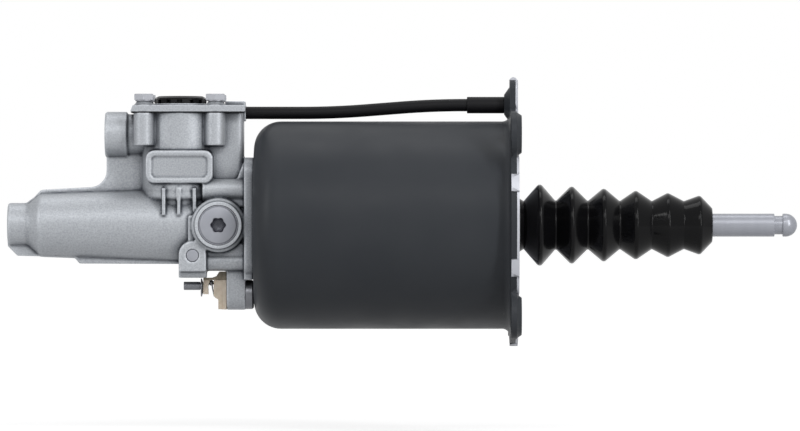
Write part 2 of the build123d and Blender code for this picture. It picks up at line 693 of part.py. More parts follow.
def main_bores():
    """Plunger bore with its gland, and the two threaded ports."""
    return [
        rod_x(CYLINDER_BORE, CHAMBER_X, WALL_X + 1),
        rod_x(GLAND_R, GLAND_X, WALL_X + 1),
        rod_x(GLAND_R + 0.8, RING_X - 0.1, RING_X + 1.3),
        rod_x(PORT_THREAD_R, PORT_X - 1, PORT_X + PORT_DEPTH),
        rod_x(2.2, PORT_X + PORT_DEPTH - 1, CHAMBER_X + 1),
        rod_x(INLET_THREAD_R, JOINT_X - INLET_REACH - 1, JOINT_X - INLET_REACH + 14, 0, INLET_Z),
        rod_x(4.5, JOINT_X - INLET_REACH + 13, VALVE_X - CONTROL_BORE_R + 2, 0, INLET_Z),
    ]


def valve_bores():
    """Stepped bore of the control valve and the channels that serve it."""
    channel_z = (CYLINDER_BORE + RELAY_FLOOR_Z) / 2
    passage_z = (CONTROL_FLOOR_Z + CONTROL_DISC + 1.3 + SEAT_Z) / 2
    passage_x = JOINT_X - 11
    stepped = upright(
        [(0, RELAY_FLOOR_Z), (RELAY_R, RELAY_FLOOR_Z), (RELAY_R, CONTROL_FLOOR_Z), (CONTROL_BORE_R, CONTROL_FLOOR_Z),
         (CONTROL_BORE_R, TOWER_TOP + 1), (0, TOWER_TOP + 1)]
    )
    return [
        stepped,
        rod_x(1.3, CHAMBER_X + 2.5, VALVE_X + 1.3, 0, channel_z),
        rod_z(1.3, CYLINDER_BORE - 2, channel_z, CHAMBER_X + 3.8, 0),
        rod_z(1.3, channel_z, RELAY_FLOOR_Z + 1, VALVE_X, 0),
        rod_x(2.6, VALVE_X + CONTROL_BORE_R - 2, passage_x, 0, passage_z),
        rod_z(AIR_HOLE_R, AIR_HOLE_Z, passage_z + AIR_HOLE_R, passage_x, 0),
        rod_x(AIR_HOLE_R, passage_x, JOINT_X + 1, 0, AIR_HOLE_Z),
    ]


def fitting_bores():
    """Holes and seats of the screws, plugs, hose nose, lug and flange ring."""
    cuts = [rod_z(SCREW_R + 0.02, TOWER_TOP - SCREW_BOSS_LENGTH + 2, TOWER_TOP + 1, x, y) for x, y in COVER_SCREWS]
    cuts += [rod_x(SCREW_R + 0.02, JOINT_X - JOINT_SCREW_LENGTH - 2, JOINT_X + 1, y, z) for y, z in JOINT_SCREWS]
    cuts += [
        rod_y(PLUG_R - 1.4, -PLUG_FACE_Y - 1, -GLAND_R - 0.8, PLUG_X, 0),
        rod_y(PLUG_R + 0.6, -PLUG_FACE_Y - 1, -PLUG_FACE_Y + 2.2, PLUG_X, 0),
        rod_y(GALLERY_R + 0.02, -EAR_FACE_Y - 1, -EAR_FACE_Y + 4, EAR_X, GALLERY_Z),
        rod_x(LUG_R - 3.4, LUG_X - LUG_LENGTH - 1, LUG_X + 1, LUG_Y, LUG_Z),
        ring_x(FLANGE_RING_R + 1.0, GLAND_SPIGOT_R, JOINT_X - 1.5, JOINT_X),
        hose_pocket(0.2),
    ]
    return cuts


def hose_pocket(clearance):
    """Room at the side block's top for the cover's hose nose."""
    right_x = JOINT_X - COVER_RIGHT
    return block(
        right_x - 6 - clearance, right_x + 6 * clearance, -6 - clearance, 6 + clearance,
        TUBE_LOW_Z - 4.5 - clearance, COVER_Z,
    )


def housing():
    """Die-cast aluminium housing."""
    pad, recess = blank_pad()
    masses = [ribs_along(), inlet_boss(), valve_tower(), tower_side_block(), pad, plug_boss(), flange_plate()]
    body = barrel() + (masses + ear_boss() + lug() + front_ribs() + screw_bosses())
    return body - (main_bores() + valve_bores() + fitting_bores() + [recess])


# Fittings of the housing

def hex_screw(length):
    """Hex screw at the origin, its head's seat at zero and its shank below."""
    head = extrude(Rot(0, 0, 30) * RegularPolygon(HEX_FLATS / 2, 6, major_radius=False), HEX_HEIGHT)
    bevel = Pos(0, 0, HEX_HEIGHT / 2) * Cylinder(HEX_FLATS / 2 + 0.55, HEX_HEIGHT)
    bevel = chamfer(bevel.edges().group_by(Axis.Z)[-1], 0.5)
    shank = Pos(0, 0, -length / 2) * Cylinder(SCREW_R, length)
    return (head & bevel) + shank


def flange_screws():
    """Four screws from inside the cylinder into the housing."""
    screw = Rot(0, 90, 0) * hex_screw(JOINT_SCREW_LENGTH)
    return Compound(children=[Pos(WALL_X + WASHER, y, z) * screw for y, z in JOINT_SCREWS])


def flange_washers():
    """Sealing washers of these screws."""
    washer = rod_x(HEX_FLATS / 2 + 0.3, WALL_X, WALL_X + WASHER) - rod_x(SCREW_R + 0.1, WALL_X, WALL_X + WASHER)
    return Compound(children=[Pos(0, y, z) * washer for y, z in JOINT_SCREWS])


def cover_screws():
    """Four screws of the valve cover."""
    screw = hex_screw(COVER_SCREW_LENGTH)
    return Compound(children=[Pos(x, y, COVER_SEAT_Z + WASHER) * screw for x, y in COVER_SCREWS])


def cover_washers():
    """Washers of the cover's screws."""
    washer = rod_z(HEX_FLATS / 2 - 0.4, 0, WASHER, 0, 0) - rod_z(SCREW_R + 0.1, 0, WASHER, 0, 0)
    return Compound(children=[Pos(x, y, COVER_SEAT_Z) * washer for x, y in COVER_SCREWS])


def screw_plug():
    """Side plug with a six-lobe recess."""
    face_y = -PLUG_FACE_Y - 0.4
    head = rod_y(PLUG_R, face_y, -PLUG_FACE_Y + 1.2, PLUG_X, 0)
    head = chamfer(head.edges().group_by(Axis.Y)[0], 0.5)
    shank = rod_y(PLUG_R - 1.42, -PLUG_FACE_Y + 1.0, -GLAND_R - 1.0, PLUG_X, 0)
    star = rod_y(PLUG_STAR_R - 1.15, face_y - 1, face_y + 4, PLUG_X, 0)
    for lobe in range(6):
        angle = lobe * pi / 3
        reach = PLUG_STAR_R - 1.05
        star += rod_y(1.05, face_y - 1, face_y + 4, PLUG_X + reach * cos(angle), reach * sin(angle))
    groove = rod_y(PLUG_RING_R + 0.35, face_y - 1, face_y + 0.35, PLUG_X, 0)
    groove -= rod_y(PLUG_RING_R - 0.35, face_y - 2, face_y + 1, PLUG_X, 0)
    return head + shank - [star, groove]


def plug_seal():
    """Sealing ring under the plug's head."""
    outer = rod_y(PLUG_R + 0.4, -PLUG_FACE_Y + 1.25, -PLUG_FACE_Y + 2.15, PLUG_X, 0)
    return outer - rod_y(PLUG_R - 1.35, -PLUG_FACE_Y + 1, -PLUG_FACE_Y + 2.4, PLUG_X, 0)


def gallery_plug():
    """Plug pressed into the ear's cross hole."""
    plug = rod_y(GALLERY_R, -EAR_FACE_Y + 0.1, -EAR_FACE_Y + 3.8, EAR_X, GALLERY_Z)
    return chamfer(plug.edges().group_by(Axis.Y)[0], 0.3)


def bleed_adapter():
    """Steel spigot between the lug and the cylinder, with its stem in the lug."""
    sleeve = rod_x(LUG_R - 0.9, LUG_X, JOINT_X - 0.05, LUG_Y, LUG_Z)
    sleeve += rod_x(LUG_R - 3.45, LUG_X - 5, LUG_X + 1, LUG_Y, LUG_Z)
    return sleeve - rod_x(1.5, LUG_X - 6, JOINT_X + 1, LUG_Y, LUG_Z)


def bleed_body():
    """Moulded valve body on the lug, with the strap that guides its pin."""
    seat_x = LUG_X - LUG_LENGTH - 0.05
    collar_x = seat_x - BLEED_LENGTH
    strap_z = EAR_STEP_Z - 0.2
    body = side_plate(
        [(seat_x, -24.9), (seat_x - 4.2, -24.9), (seat_x - 6.6, strap_z), (collar_x, strap_z), (collar_x, -37.0),
         (collar_x + 2.9, -37.0), (collar_x + 2.9, -31.8), (collar_x + 4.7, -29.6), (collar_x + 6.7, -29.6),
         (collar_x + 6.7, -38.6), (seat_x - 4.3, -39.9), (seat_x - 4.3, -45.4), (seat_x, -45.4)],
        LUG_Y - 5.0, LUG_Y + 5.0, {2: 4.0, 6: 1.5, 7: 1.5},
    )
    body += rod_x(LUG_R - 3.45, seat_x - 1, seat_x + 4.5, LUG_Y, LUG_Z)
    return body - rod_x(PIN_R + 0.05, collar_x - 5, collar_x + 4.7, LUG_Y, BLEED_Z)


def bleed_pin():
    """Steel pin of the bleed valve, with a round end against the body."""
    stop_x = LUG_X - LUG_LENGTH - 0.05 - BLEED_LENGTH + 6.65
    pin = rod_x(PIN_R, stop_x - PIN_LENGTH, stop_x - PIN_R, LUG_Y, BLEED_Z)
    pin = chamfer(pin.edges().group_by(Axis.X)[0], 0.4)
    return pin + Pos(stop_x - PIN_R, LUG_Y, BLEED_Z) * Sphere(PIN_R)


def bleed_washer():
    """Thin dished washer that hangs on the pin beside the body."""
    face_x = LUG_X - LUG_LENGTH - 0.05 - BLEED_LENGTH
    hole_r = PIN_R + 0.9
    corners = [(face_x - 0.7, hole_r), (face_x - 0.1, hole_r), (face_x - 0.7, 4.9), (face_x - 1.3, 4.9)]
    return Pos(0, LUG_Y, BLEED_Z + PIN_R + 0.02 - hole_r) * turned(corners)


def flange_o_ring():
    """Rubber ring between the housing and the cylinder."""
    return o_ring_x(FLANGE_RING_R, 0.72, JOINT_X - 0.75)


# Control valve

def relay_piston():
    """Small hydraulic piston with a stem that lifts the control piston."""
    r = RELAY_R - SLIDE_GAP
    low = RELAY_FLOOR_Z + 0.3
    return upright(
        [(0, low), (r, low), (r, low + 2.4), (r - 1.9, low + 2.4), (r - 1.9, low + 5.0), (r, low + 5.0), (r, low + 8.4),
         (3.0, low + 8.4), (3.0, CONTROL_FLOOR_Z + 1.0), (0, CONTROL_FLOOR_Z + 1.0)]
    )


def relay_seal():
    """Rubber ring of the relay piston."""
    return o_ring_z(RELAY_R - SLIDE_GAP - 0.9, 0.88, RELAY_FLOOR_Z + 0.3 + 3.7)


def control_piston():
    """Air piston of the control valve; its stem closes the exhaust."""
    r = CONTROL_BORE_R - SLIDE_GAP - 0.2
    low = CONTROL_FLOOR_Z + 1.0
    high = low + CONTROL_DISC
    stem_top = SEAT_Z + SEAT_HEIGHT + 0.65 - EXHAUST_GAP
    return upright(
        [(0, low), (r, low), (r, low + 1.4), (r - 1.9, low + 1.4), (r - 1.9, low + 3.6), (r, low + 3.6), (r, high),
         (STEM_R, high), (STEM_R, stem_top), (STEM_R - 1.0, stem_top), (STEM_R - 1.0, stem_top - 2), (0, stem_top - 2)]
    )


def control_o_ring():
    """Rubber ring of the control piston."""
    return o_ring_z(CONTROL_BORE_R - SLIDE_GAP - 1.02, 1.0, CONTROL_FLOOR_Z + 1.0 + 2.5)


def valve_seat():
    """Insert with the inlet seat."""
    r = CONTROL_BORE_R - 0.05
    top = SEAT_Z + SEAT_HEIGHT
    return upright(
        [(SEAT_HOLE_R, SEAT_Z), (r, SEAT_Z), (r, SEAT_Z + 0.7), (r - 1.5, SEAT_Z + 0.7), (r - 1.5, SEAT_Z + 2.7),
         (r, SEAT_Z + 2.7), (r, top), (SEAT_HOLE_R + 1.4, top), (SEAT_HOLE_R + 0.9, top + 0.6), (SEAT_HOLE_R, top + 0.6)]
    )


def seat_o_ring():
    """Rubber ring of the seat insert."""
    return o_ring_z(CONTROL_BORE_R - 0.82, 0.72, SEAT_Z + 1.7)


def poppet_rubber():
    """Rubber face of the inlet valve."""
    low = SEAT_Z + SEAT_HEIGHT + 0.65
    return upright([(POPPET_BORE_R, low), (POPPET_R, low), (POPPET_R, low + 2.5), (POPPET_BORE_R, low + 2.5)])


def inlet_poppet():
    """Hollow stem of the inlet valve, through which the air leaves."""
    low = SEAT_Z + SEAT_HEIGHT + 0.65 + 2.5
    return upright(
        [(POPPET_BORE_R, low), (POPPET_R, low), (POPPET_R, low + 1.2), (POPPET_TUBE_R, low + 1.2),
         (POPPET_TUBE_R, COVER_Z + 1.2), (POPPET_BORE_R, COVER_Z + 1.2)]
    )


def valve_guide():
    """Insert that guides the hollow stem."""
    return upright(
        [(POPPET_TUBE_R + SLIDE_GAP, GUIDE_Z), (CONTROL_BORE_R - 0.05, GUIDE_Z), (CONTROL_BORE_R - 0.05, TOWER_TOP - 0.1),
         (POPPET_TUBE_R + SLIDE_GAP, TOWER_TOP - 0.1)]
    )


def control_spring():
    """Return spring of the control piston."""
    wire = 0.6
    low = CONTROL_FLOOR_Z + 1.0 + CONTROL_DISC + wire + SLIDE_GAP
    return Pos(VALVE_X, 0, low) * coil(10.5, 10.5, SEAT_Z - wire - SLIDE_GAP - low, 2.5, wire)


def poppet_spring():
    """Spring that holds the inlet valve on its seat."""
    wire = 0.5
    low = SEAT_Z + SEAT_HEIGHT + 0.65 + 2.5 + 1.2 + wire + SLIDE_GAP
    return Pos(VALVE_X, 0, low) * coil(7.2, 7.2, GUIDE_Z - wire - SLIDE_GAP - low, 3, wire)


def preload_spring():
    """Light conical spring that keeps the push rod in touch with its lever."""
    wire = 1.5
    start = WALL_X + wire + 0.2
    end = PISTON_X - 8.0 - WEB - wire - 0.2
    return Pos(start, 0, 0) * Rot(0, 90, 0) * coil(37.5, 25.0, end - start, 5, wire)


# Valve cover

def screw_pads(height):
    """Round pads under the cover's screws."""
    return [rod_z(SCREW_BOSS_R + 0.2, 0, height, x, y) for x, y in COVER_SCREWS]


def cover_outline(height):
    """Cover's plate without its screw pads, above the gasket plane."""
    left_x = JOINT_X - COVER_LEFT
    right_x = JOINT_X - COVER_RIGHT
    return side_plate(
        [(left_x, 0), (right_x, 0), (right_x, height), (left_x + 1.4, height)],
        -COVER_HALF_DEPTH, COVER_HALF_DEPTH,
    )


def valve_cover():
    """Cast cover of the control valve with the hose nose on its right."""
    plate = cover_outline(COVER_PLATE)
    plate = fillet(plate.faces().sort_by(Axis.Z)[-1].outer_wire().edges(), 0.8)
    right_x = JOINT_X - COVER_RIGHT
    dome = block(right_x - COVER_DOME_LENGTH, right_x - 0.3, -12, 12, 1, COVER_PLATE + COVER_BOSS_RISE)
    dome = fillet(dome.edges().filter_by(Axis.X).group_by(Axis.Z)[-1], 1.0)
    cover = Pos(0, 0, COVER_Z) * (plate + (screw_pads(COVER_PLATE + COVER_BOSS_RISE) + [dome]))
    nose = block(right_x - 6, right_x, -6, 6, TUBE_LOW_Z - 4.5, COVER_Z + 1)
    nipple = rod_x(TUBE_R - TUBE_WALL - 0.05, right_x - 1, right_x + 12, 0, TUBE_LOW_Z)
    cover = cover + [nose, nipple]
    cover -= rod_z(POPPET_TUBE_R + 3, COVER_Z - 1, COVER_TOP_Z + 1, VALVE_X, 0)
    for x, y in COVER_SCREWS:
        cover -= rod_z(SCREW_R + 0.3, COVER_Z - 1, COVER_SEAT_Z + 1, x, y)
    return cover


def valve_gasket():
    """Thin gasket under the cover."""
    gasket = Pos(0, 0, TOWER_TOP) * (cover_outline(GASKET) + screw_pads(GASKET))
    gasket -= block(JOINT_X - 6.6, JOINT_X, -COVER_HALF_DEPTH - 1, COVER_HALF_DEPTH + 1, TOWER_TOP - 1, COVER_Z + 1)
    gasket -= rod_z(POPPET_TUBE_R + 3, TOWER_TOP - 1, COVER_Z + 1, VALVE_X, 0)
    for x, y in COVER_SCREWS:
        gasket -= rod_z(SCREW_R + 0.3, TOWER_TOP - 1, COVER_Z + 1, x, y)
    return gasket - hose_pocket(0.2)


def exhaust_cap():
    """Black cap over the exhaust, with slots round its edge."""
    low = COVER_TOP_Z + 0.05
    top = low + CAP_HEIGHT
    cap = upright(
        [(0, low + 1.2), (6.5, low + 1.2), (6.5, low - 3), (7.9, low - 3), (7.9, low),
         (CAP_R, low), (CAP_R, top - 1.5), (CAP_R - 2.5, top), (0, top)],
        {6: 0.8, 7: 0.8},
    )
    slot = block(CAP_R - 2.2, CAP_R + 1, -1.2, 1.2, low - 1, low + 2.4)
    for number in range(CAP_SLOTS):
        cap -= Pos(VALVE_X, 0, 0) * Rot(0, 0, (number + 0.5) * 360 / CAP_SLOTS) * slot
    return cap


# Breather tube

def air_tube():
    """Plastic tube from the cover's nose to the duct, held at both ends."""
    start_x = JOINT_X - COVER_RIGHT + 0.1
    end_x = FLANGE_REAR_X
    rise_x = (start_x + end_x) / 2 - 24
    high_x = rise_x + TUBE_SLOPE_LENGTH
    path = FilletPolyline(
        (start_x, 0, TUBE_LOW_Z), (rise_x, 0, TUBE_LOW_Z), (high_x, 0, TUBE_HIGH_Z), (end_x, 0, TUBE_HIGH_Z),
        radius=0.64 * TUBE_SLOPE_LENGTH**2 / abs(TUBE_HIGH_Z - TUBE_LOW_Z),
    )
    section = Plane(origin=path @ 0, z_dir=path % 0) * (Circle(TUBE_R) - Circle(TUBE_R - TUBE_WALL))
    return sweep(section, path=path)


def tube_sleeve():
    """Rubber sleeve that seals the tube on the duct."""
    end_x = FLANGE_REAR_X - DUCT_DEPTH - 0.05
    start_x = end_x - SLEEVE_LENGTH
    sleeve = rod_x(SLEEVE_R, start_x, end_x, 0, TUBE_HIGH_Z)
    return sleeve - rod_x(TUBE_R + 0.05, start_x - 1, end_x + 1, 0, TUBE_HIGH_Z)


PIECES = [
    cylinder_shell, front_cover, bellows, push_rod, air_piston, piston_seal, piston_guide_ring,
    plunger, plunger_seal, rod_seat, seat_clip, guide_bush, gland_seal, gland_ring, housing, flange_screws,
    flange_washers, cover_screws, cover_washers, screw_plug, plug_seal, gallery_plug, bleed_adapter, bleed_body,
    bleed_pin, bleed_washer, flange_o_ring, relay_piston, relay_seal, control_piston, control_o_ring, valve_seat,
    seat_o_ring, poppet_rubber, inlet_poppet, valve_guide, control_spring, poppet_spring, preload_spring,
    valve_cover, valve_gasket, exhaust_cap, air_tube, tube_sleeve,
]

os.makedirs("parts", exist_ok=True)
for piece in PIECES:
    write(piece.__name__, piece())
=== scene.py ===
import json
from math import atan2, cos, pi, radians, sin, tan

import bmesh
import bpy
from mathutils import Matrix, Vector

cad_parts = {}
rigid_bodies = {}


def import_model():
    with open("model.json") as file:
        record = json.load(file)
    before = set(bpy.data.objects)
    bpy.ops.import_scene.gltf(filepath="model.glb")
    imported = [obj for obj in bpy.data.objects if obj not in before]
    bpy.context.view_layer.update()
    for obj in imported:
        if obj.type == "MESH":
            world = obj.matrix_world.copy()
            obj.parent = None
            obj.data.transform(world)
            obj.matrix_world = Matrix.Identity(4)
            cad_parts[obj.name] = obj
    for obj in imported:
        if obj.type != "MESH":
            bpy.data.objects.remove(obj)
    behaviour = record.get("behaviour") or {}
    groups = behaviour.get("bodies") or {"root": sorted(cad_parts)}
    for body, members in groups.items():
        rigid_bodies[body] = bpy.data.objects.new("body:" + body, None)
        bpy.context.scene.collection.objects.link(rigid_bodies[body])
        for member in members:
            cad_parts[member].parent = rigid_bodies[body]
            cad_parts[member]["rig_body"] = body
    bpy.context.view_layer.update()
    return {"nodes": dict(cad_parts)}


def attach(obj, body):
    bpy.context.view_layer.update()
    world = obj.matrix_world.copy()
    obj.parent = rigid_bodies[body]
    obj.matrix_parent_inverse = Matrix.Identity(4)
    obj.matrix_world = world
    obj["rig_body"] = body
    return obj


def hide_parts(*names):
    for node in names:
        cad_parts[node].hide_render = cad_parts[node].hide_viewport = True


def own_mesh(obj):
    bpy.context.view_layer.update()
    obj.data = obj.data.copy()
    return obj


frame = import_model()
nodes = frame["nodes"]
scene = bpy.context.scene
scene.view_settings.view_transform = "Standard"
MM = 0.001


# View, floor and light
# A long lens looks straight at the servo's side, along +Y, as wide as the servo with a margin.
# The floor is a pale sheet below it, and large soft lamps stand in front, right, left and above.

VIEW_CENTRE = Vector((-64.8, 0.0, 5.2)) * MM
VIEW_WIDTH = 432.0 * MM
LENS = 300.0
SENSOR = 36.0
FLOOR_Z = -112.0 * MM


def linked(name, data):
    """A new object of the scene that shows a camera, a lamp or a mesh."""
    thing = bpy.data.objects.new(name, data)
    scene.collection.objects.link(thing)
    return thing


def aim(thing, target):
    """Turns a lamp or camera, which looks along its own -Z, towards a point."""
    thing.rotation_euler = (Vector(target) - thing.location).to_track_quat("-Z", "Y").to_euler()


camera_data = bpy.data.cameras.new("camera")
camera_data.lens = LENS
camera_data.sensor_width = SENSOR
camera_data.clip_end = 100.0
camera = linked("camera", camera_data)
camera.location = VIEW_CENTRE + Vector((0, -VIEW_WIDTH * LENS / SENSOR, 0))
aim(camera, VIEW_CENTRE)
scene.camera = camera


def softbox(name, place, target, width, height, watts):
    """A rectangular area lamp."""
    light = bpy.data.lights.new(name, "AREA")
    light.shape = "RECTANGLE"
    light.size = width
    light.size_y = height
    light.energy = watts
    lamp = linked(name, light)
    lamp.location = place
    aim(lamp, target)


softbox("front", (-0.2, -1.65, 1.05), (-0.08, 0, 0.02), width=1.6, height=0.5, watts=10.5)
softbox("right", (1.05, -1.3, 0.75), (-0.05, 0, 0.02), width=0.22, height=1.7, watts=22)
softbox("left", (-1.5, -0.8, 0.6), (-0.1, 0, 0), width=0.2, height=1.1, watts=8)
softbox("top", (-0.05, 0.2, 1.6), (-0.05, 0, 0), width=1.4, height=0.6, watts=7.5)


def add(tree, kind, inputs=(), **settings):
    """A node with its settings, its inputs set, or linked where a node or socket is given."""
    node = tree.nodes.new(kind)
    for key, value in settings.items():
        setattr(node, key, value)
    for key, value in dict(inputs).items():
        for one in value if isinstance(value, list) else [value]:
            if isinstance(one, bpy.types.Node):
                tree.links.new(one.outputs[0], node.inputs[key])
            elif isinstance(one, bpy.types.NodeSocket):
                tree.links.new(one, node.inputs[key])
            else:
                node.inputs[key].default_value = one
    return node


def calc(tree, operation, *values):
    """A Math node on numbers, nodes or sockets."""
    return add(tree, "ShaderNodeMath", dict(enumerate(values)), operation=operation)


def seen_directly(tree):
    """One where the camera, a mirror or glass looks at the background, and nought for its light."""
    path = add(tree, "ShaderNodeLightPath").outputs
    mirror = calc(tree, "MAXIMUM", path["Is Camera Ray"], path["Is Glossy Ray"])
    return calc(tree, "MAXIMUM", mirror, path["Is Transmission Ray"])


def studio_world():
    """Soft grey surroundings that light the object, white where they are seen."""
    world = bpy.data.worlds.new("studio")
    world.use_nodes = True
    tree = world.node_tree
    tree.nodes.clear()
    grey = add(tree, "ShaderNodeBackground", {"Color": (0.95, 0.97, 1.0, 1), "Strength": 0.13})
    white = add(tree, "ShaderNodeBackground", {"Color": (1, 1, 1, 1), "Strength": 1.0})
    mix = add(tree, "ShaderNodeMixShader", {"Fac": seen_directly(tree), 1: grey, 2: white})
    add(tree, "ShaderNodeOutputWorld", {"Surface": mix})
    scene.world = world


studio_world()


def pale_floor():
    """A wide pale sheet that shows the object's shadow on white."""
    mesh = bpy.data.meshes.new("floor")
    reach = 30.0
    corners = [(-reach, -reach), (reach, -reach), (reach, reach), (-reach, reach)]
    mesh.from_pydata([(x, y, FLOOR_Z) for x, y in corners], [], [(0, 1, 2, 3)])
    material = bpy.data.materials.new("pale_floor")
    material.use_nodes = True
    tree = material.node_tree
    tree.nodes.clear()
    diffuse = add(tree, "ShaderNodeBsdfDiffuse", {"Color": (0.5, 0.5, 0.5, 1)})
    place = add(tree, "ShaderNodeTexCoord").outputs["Object"]
    away = add(tree, "ShaderNodeVectorMath", {0: place}, operation="LENGTH").outputs["Value"]
    glow = add(
        tree, "ShaderNodeMapRange",
        {"Value": away, "From Min": 0.3, "From Max": 1.6, "To Min": 0.7, "To Max": 0.95},
    )
    lift = add(tree, "ShaderNodeEmission", {"Strength": calc(tree, "MULTIPLY", seen_directly(tree), glow)})
    both = add(tree, "ShaderNodeAddShader", {0: diffuse, 1: lift})
    add(tree, "ShaderNodeOutputMaterial", {"Surface": both})
    mesh.materials.append(material)
    floor = linked("floor", mesh)


pale_floor()


# Cylinder
# The air cylinder is a deep-drawn steel cup with its flange, ears and air duct pressed in one sheet.
# It is painted satin black, with faint clouds in its tone and a fine orange peel.

def shader(name, color, roughness, metallic=0.0, **inputs):
    """A new material with its Principled shader's constant inputs."""
    material = bpy.data.materials.new(name)
    material.use_nodes = True
    bsdf = material.node_tree.nodes["Principled BSDF"]
    bsdf.inputs["Base Color"].default_value = (*color, 1)
    bsdf.inputs["Roughness"].default_value = roughness
    bsdf.inputs["Metallic"].default_value = metallic
    for key, value in inputs.items():
        bsdf.inputs[key.replace("_", " ")].default_value = value
    return material


def noise(material, size, detail=2.0, stretch=(1, 1, 1)):
    """Noise of a given grain size, in metres, on the object's own coordinates."""
    tree = material.node_tree
    place = add(tree, "ShaderNodeTexCoord").outputs["Object"]
    mapping = add(tree, "ShaderNodeMapping", {"Vector": place, "Scale": stretch})
    texture = add(tree, "ShaderNodeTexNoise", {"Vector": mapping, "Scale": 1 / size, "Detail": detail})
    return texture.outputs["Fac"]


def spread(material, source, low, high):
    """Lets a pattern vary the roughness between two values."""
    tree = material.node_tree
    remap = add(
        tree, "ShaderNodeMapRange",
        {"Value": source, "From Min": 0.3, "From Max": 0.7, "To Min": low, "To Max": high},
    )
    tree.links.new(remap.outputs["Result"], tree.nodes["Principled BSDF"].inputs["Roughness"])


def tint(material, source, dark, light, start=0.3, end=0.7):
    """Colours the surface between two colours by a pattern, over what colours it already."""
    tree = material.node_tree
    ramp = add(tree, "ShaderNodeValToRGB", {"Fac": source})
    ramp.color_ramp.elements[0].position = start
    ramp.color_ramp.elements[1].position = end
    ramp.color_ramp.elements[0].color = (*dark, 1)
    ramp.color_ramp.elements[1].color = (*light, 1)
    socket = tree.nodes["Principled BSDF"].inputs["Base Color"]
    result = ramp.outputs["Color"]
    if socket.is_linked:
        both = {0: 1.0, 6: socket.links[0].from_socket, 7: result}
        result = add(tree, "ShaderNodeMix", both, data_type="RGBA", blend_type="MULTIPLY").outputs[2]
    tree.links.new(result, socket)


def relief(material, source, depth, strength):
    """Gives the surface a bump of a pattern, its depth in metres."""
    tree = material.node_tree
    bump = add(tree, "ShaderNodeBump", {"Strength": strength, "Distance": depth, "Height": source})
    tree.links.new(bump.outputs["Normal"], tree.nodes["Principled BSDF"].inputs["Normal"])


def black_paint():
    """Baked satin black paint with a faint orange peel."""
    paint = shader("black_paint", (0.033, 0.036, 0.041), 0.42, Specular_IOR_Level=0.12)
    tint(paint, noise(paint, 0.045), (0.030, 0.033, 0.038), (0.036, 0.039, 0.044))
    spread(paint, noise(paint, 0.02), 0.40, 0.50)
    relief(paint, noise(paint, 0.0016), 0.00002, 0.35)
    return paint


WELD = 0.002 * MM


def carried(node, material):
    """A smooth-shaded copy of a CAD node's mesh, which stands for the node."""
    source = nodes[node]
    mesh = source.data.copy()
    mesh.name = node + "_skin"
    shape = bmesh.new()
    shape.from_mesh(mesh)
    bmesh.ops.remove_doubles(shape, verts=shape.verts, dist=WELD)
    bmesh.ops.dissolve_degenerate(shape, edges=shape.edges, dist=WELD / 2)
    shape.to_mesh(mesh)
    shape.free()
    mesh.shade_smooth()
    mesh.set_sharp_from_angle(angle=radians(30.0))
    mesh.materials.clear()
    mesh.materials.append(material)
    piece = linked(node + "_skin", mesh)
    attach(piece, source["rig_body"])
    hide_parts(node)


carried("cylinder_shell", black_paint())


# Front cover
# The cover is pressed from thin sheet and zinc plated. Its tabs are bent round the flange, and its
# lip is rolled over the top tab.

def zinc_plate():
    """Bright zinc with a faint cloudy bloom."""
    zinc = shader("zinc_plate", (0.46, 0.46, 0.52), 0.4, 0.4, Specular_IOR_Level=0.2)
    tint(zinc, noise(zinc, 0.012, 3.0), (0.435, 0.445, 0.485), (0.475, 0.485, 0.525))
    spread(zinc, noise(zinc, 0.004), 0.34, 0.46)
    return zinc


carried("front_cover", zinc_plate())


# Housing
# The housing is die-cast aluminium. All its edges are melted to small radii and its skin has the fine even
# grain of a blasted casting. Painted shade darkens its corners and a painted highlight brightens its edges.

def cast_aluminium():
    """Blasted aluminium casting, with painted shade in its corners and a painted highlight on its edges."""
    cast = shader("cast_aluminium", (0.40, 0.41, 0.43), 0.46, 0.4, Specular_IOR_Level=0.12)
    tree = cast.node_tree
    point = add(tree, "ShaderNodeNewGeometry").outputs["Pointiness"]
    painted_shade = add(tree, "ShaderNodeAmbientOcclusion", {"Distance": 7.0 * MM}, samples=8).outputs["AO"]
    tint(cast, noise(cast, 0.0008, 3.0), (0.335, 0.352, 0.378), (0.460, 0.479, 0.505))
    # These tints paint light: pointiness darkens hollows as painted shade and brightens edges as a painted
    # highlight, and occlusion darkens corners as painted shade.
    tint(cast, point, (0.22, 0.23, 0.25), (1.0, 1.0, 1.0), 0.47, 0.5)
    tint(cast, point, (0.95, 0.95, 0.95), (1.15, 1.15, 1.15), 0.503, 0.53)
    tint(cast, painted_shade, (0.30, 0.31, 0.33), (1.0, 1.0, 1.0), 0.35, 0.95)
    spread(cast, noise(cast, 0.0009, 3.0), 0.42, 0.52)
    relief(cast, noise(cast, 0.0005, 3.0), 0.00002, 0.5)
    return cast


aluminium = cast_aluminium()


def filled(bars):
    """Closed round bars, from (axis, radius, start, end, two other places) in millimetres."""
    shape = bmesh.new()
    for axis, radius, start, end, a, b in bars:
        size = {"radius1": radius * MM, "radius2": radius * MM, "depth": (end - start) * MM}
        bar = bmesh.ops.create_cone(shape, cap_ends=True, segments=48, **size)
        turn = {"x": Matrix.Rotation(pi / 2, 4, "Y"), "z": Matrix.Identity(4)}[axis]
        middle = (start + end) / 2
        place = {"x": Vector((middle, a, b)), "z": Vector((a, b, middle))}[axis] * MM
        bmesh.ops.transform(shape, matrix=Matrix.Translation(place) @ turn, verts=bar["verts"])
    return shape


def mesh_of(name, shape):
    """A named mesh of a shape in the making, which is freed."""
    mesh = bpy.data.meshes.new(name)
    shape.to_mesh(mesh)
    shape.free()
    return mesh


def settled(piece):
    """Makes a piece's modifiers part of its mesh."""
    evaluated = piece.evaluated_get(bpy.context.evaluated_depsgraph_get())
    piece.data = bpy.data.meshes.new_from_object(evaluated)
    piece.modifiers.clear()


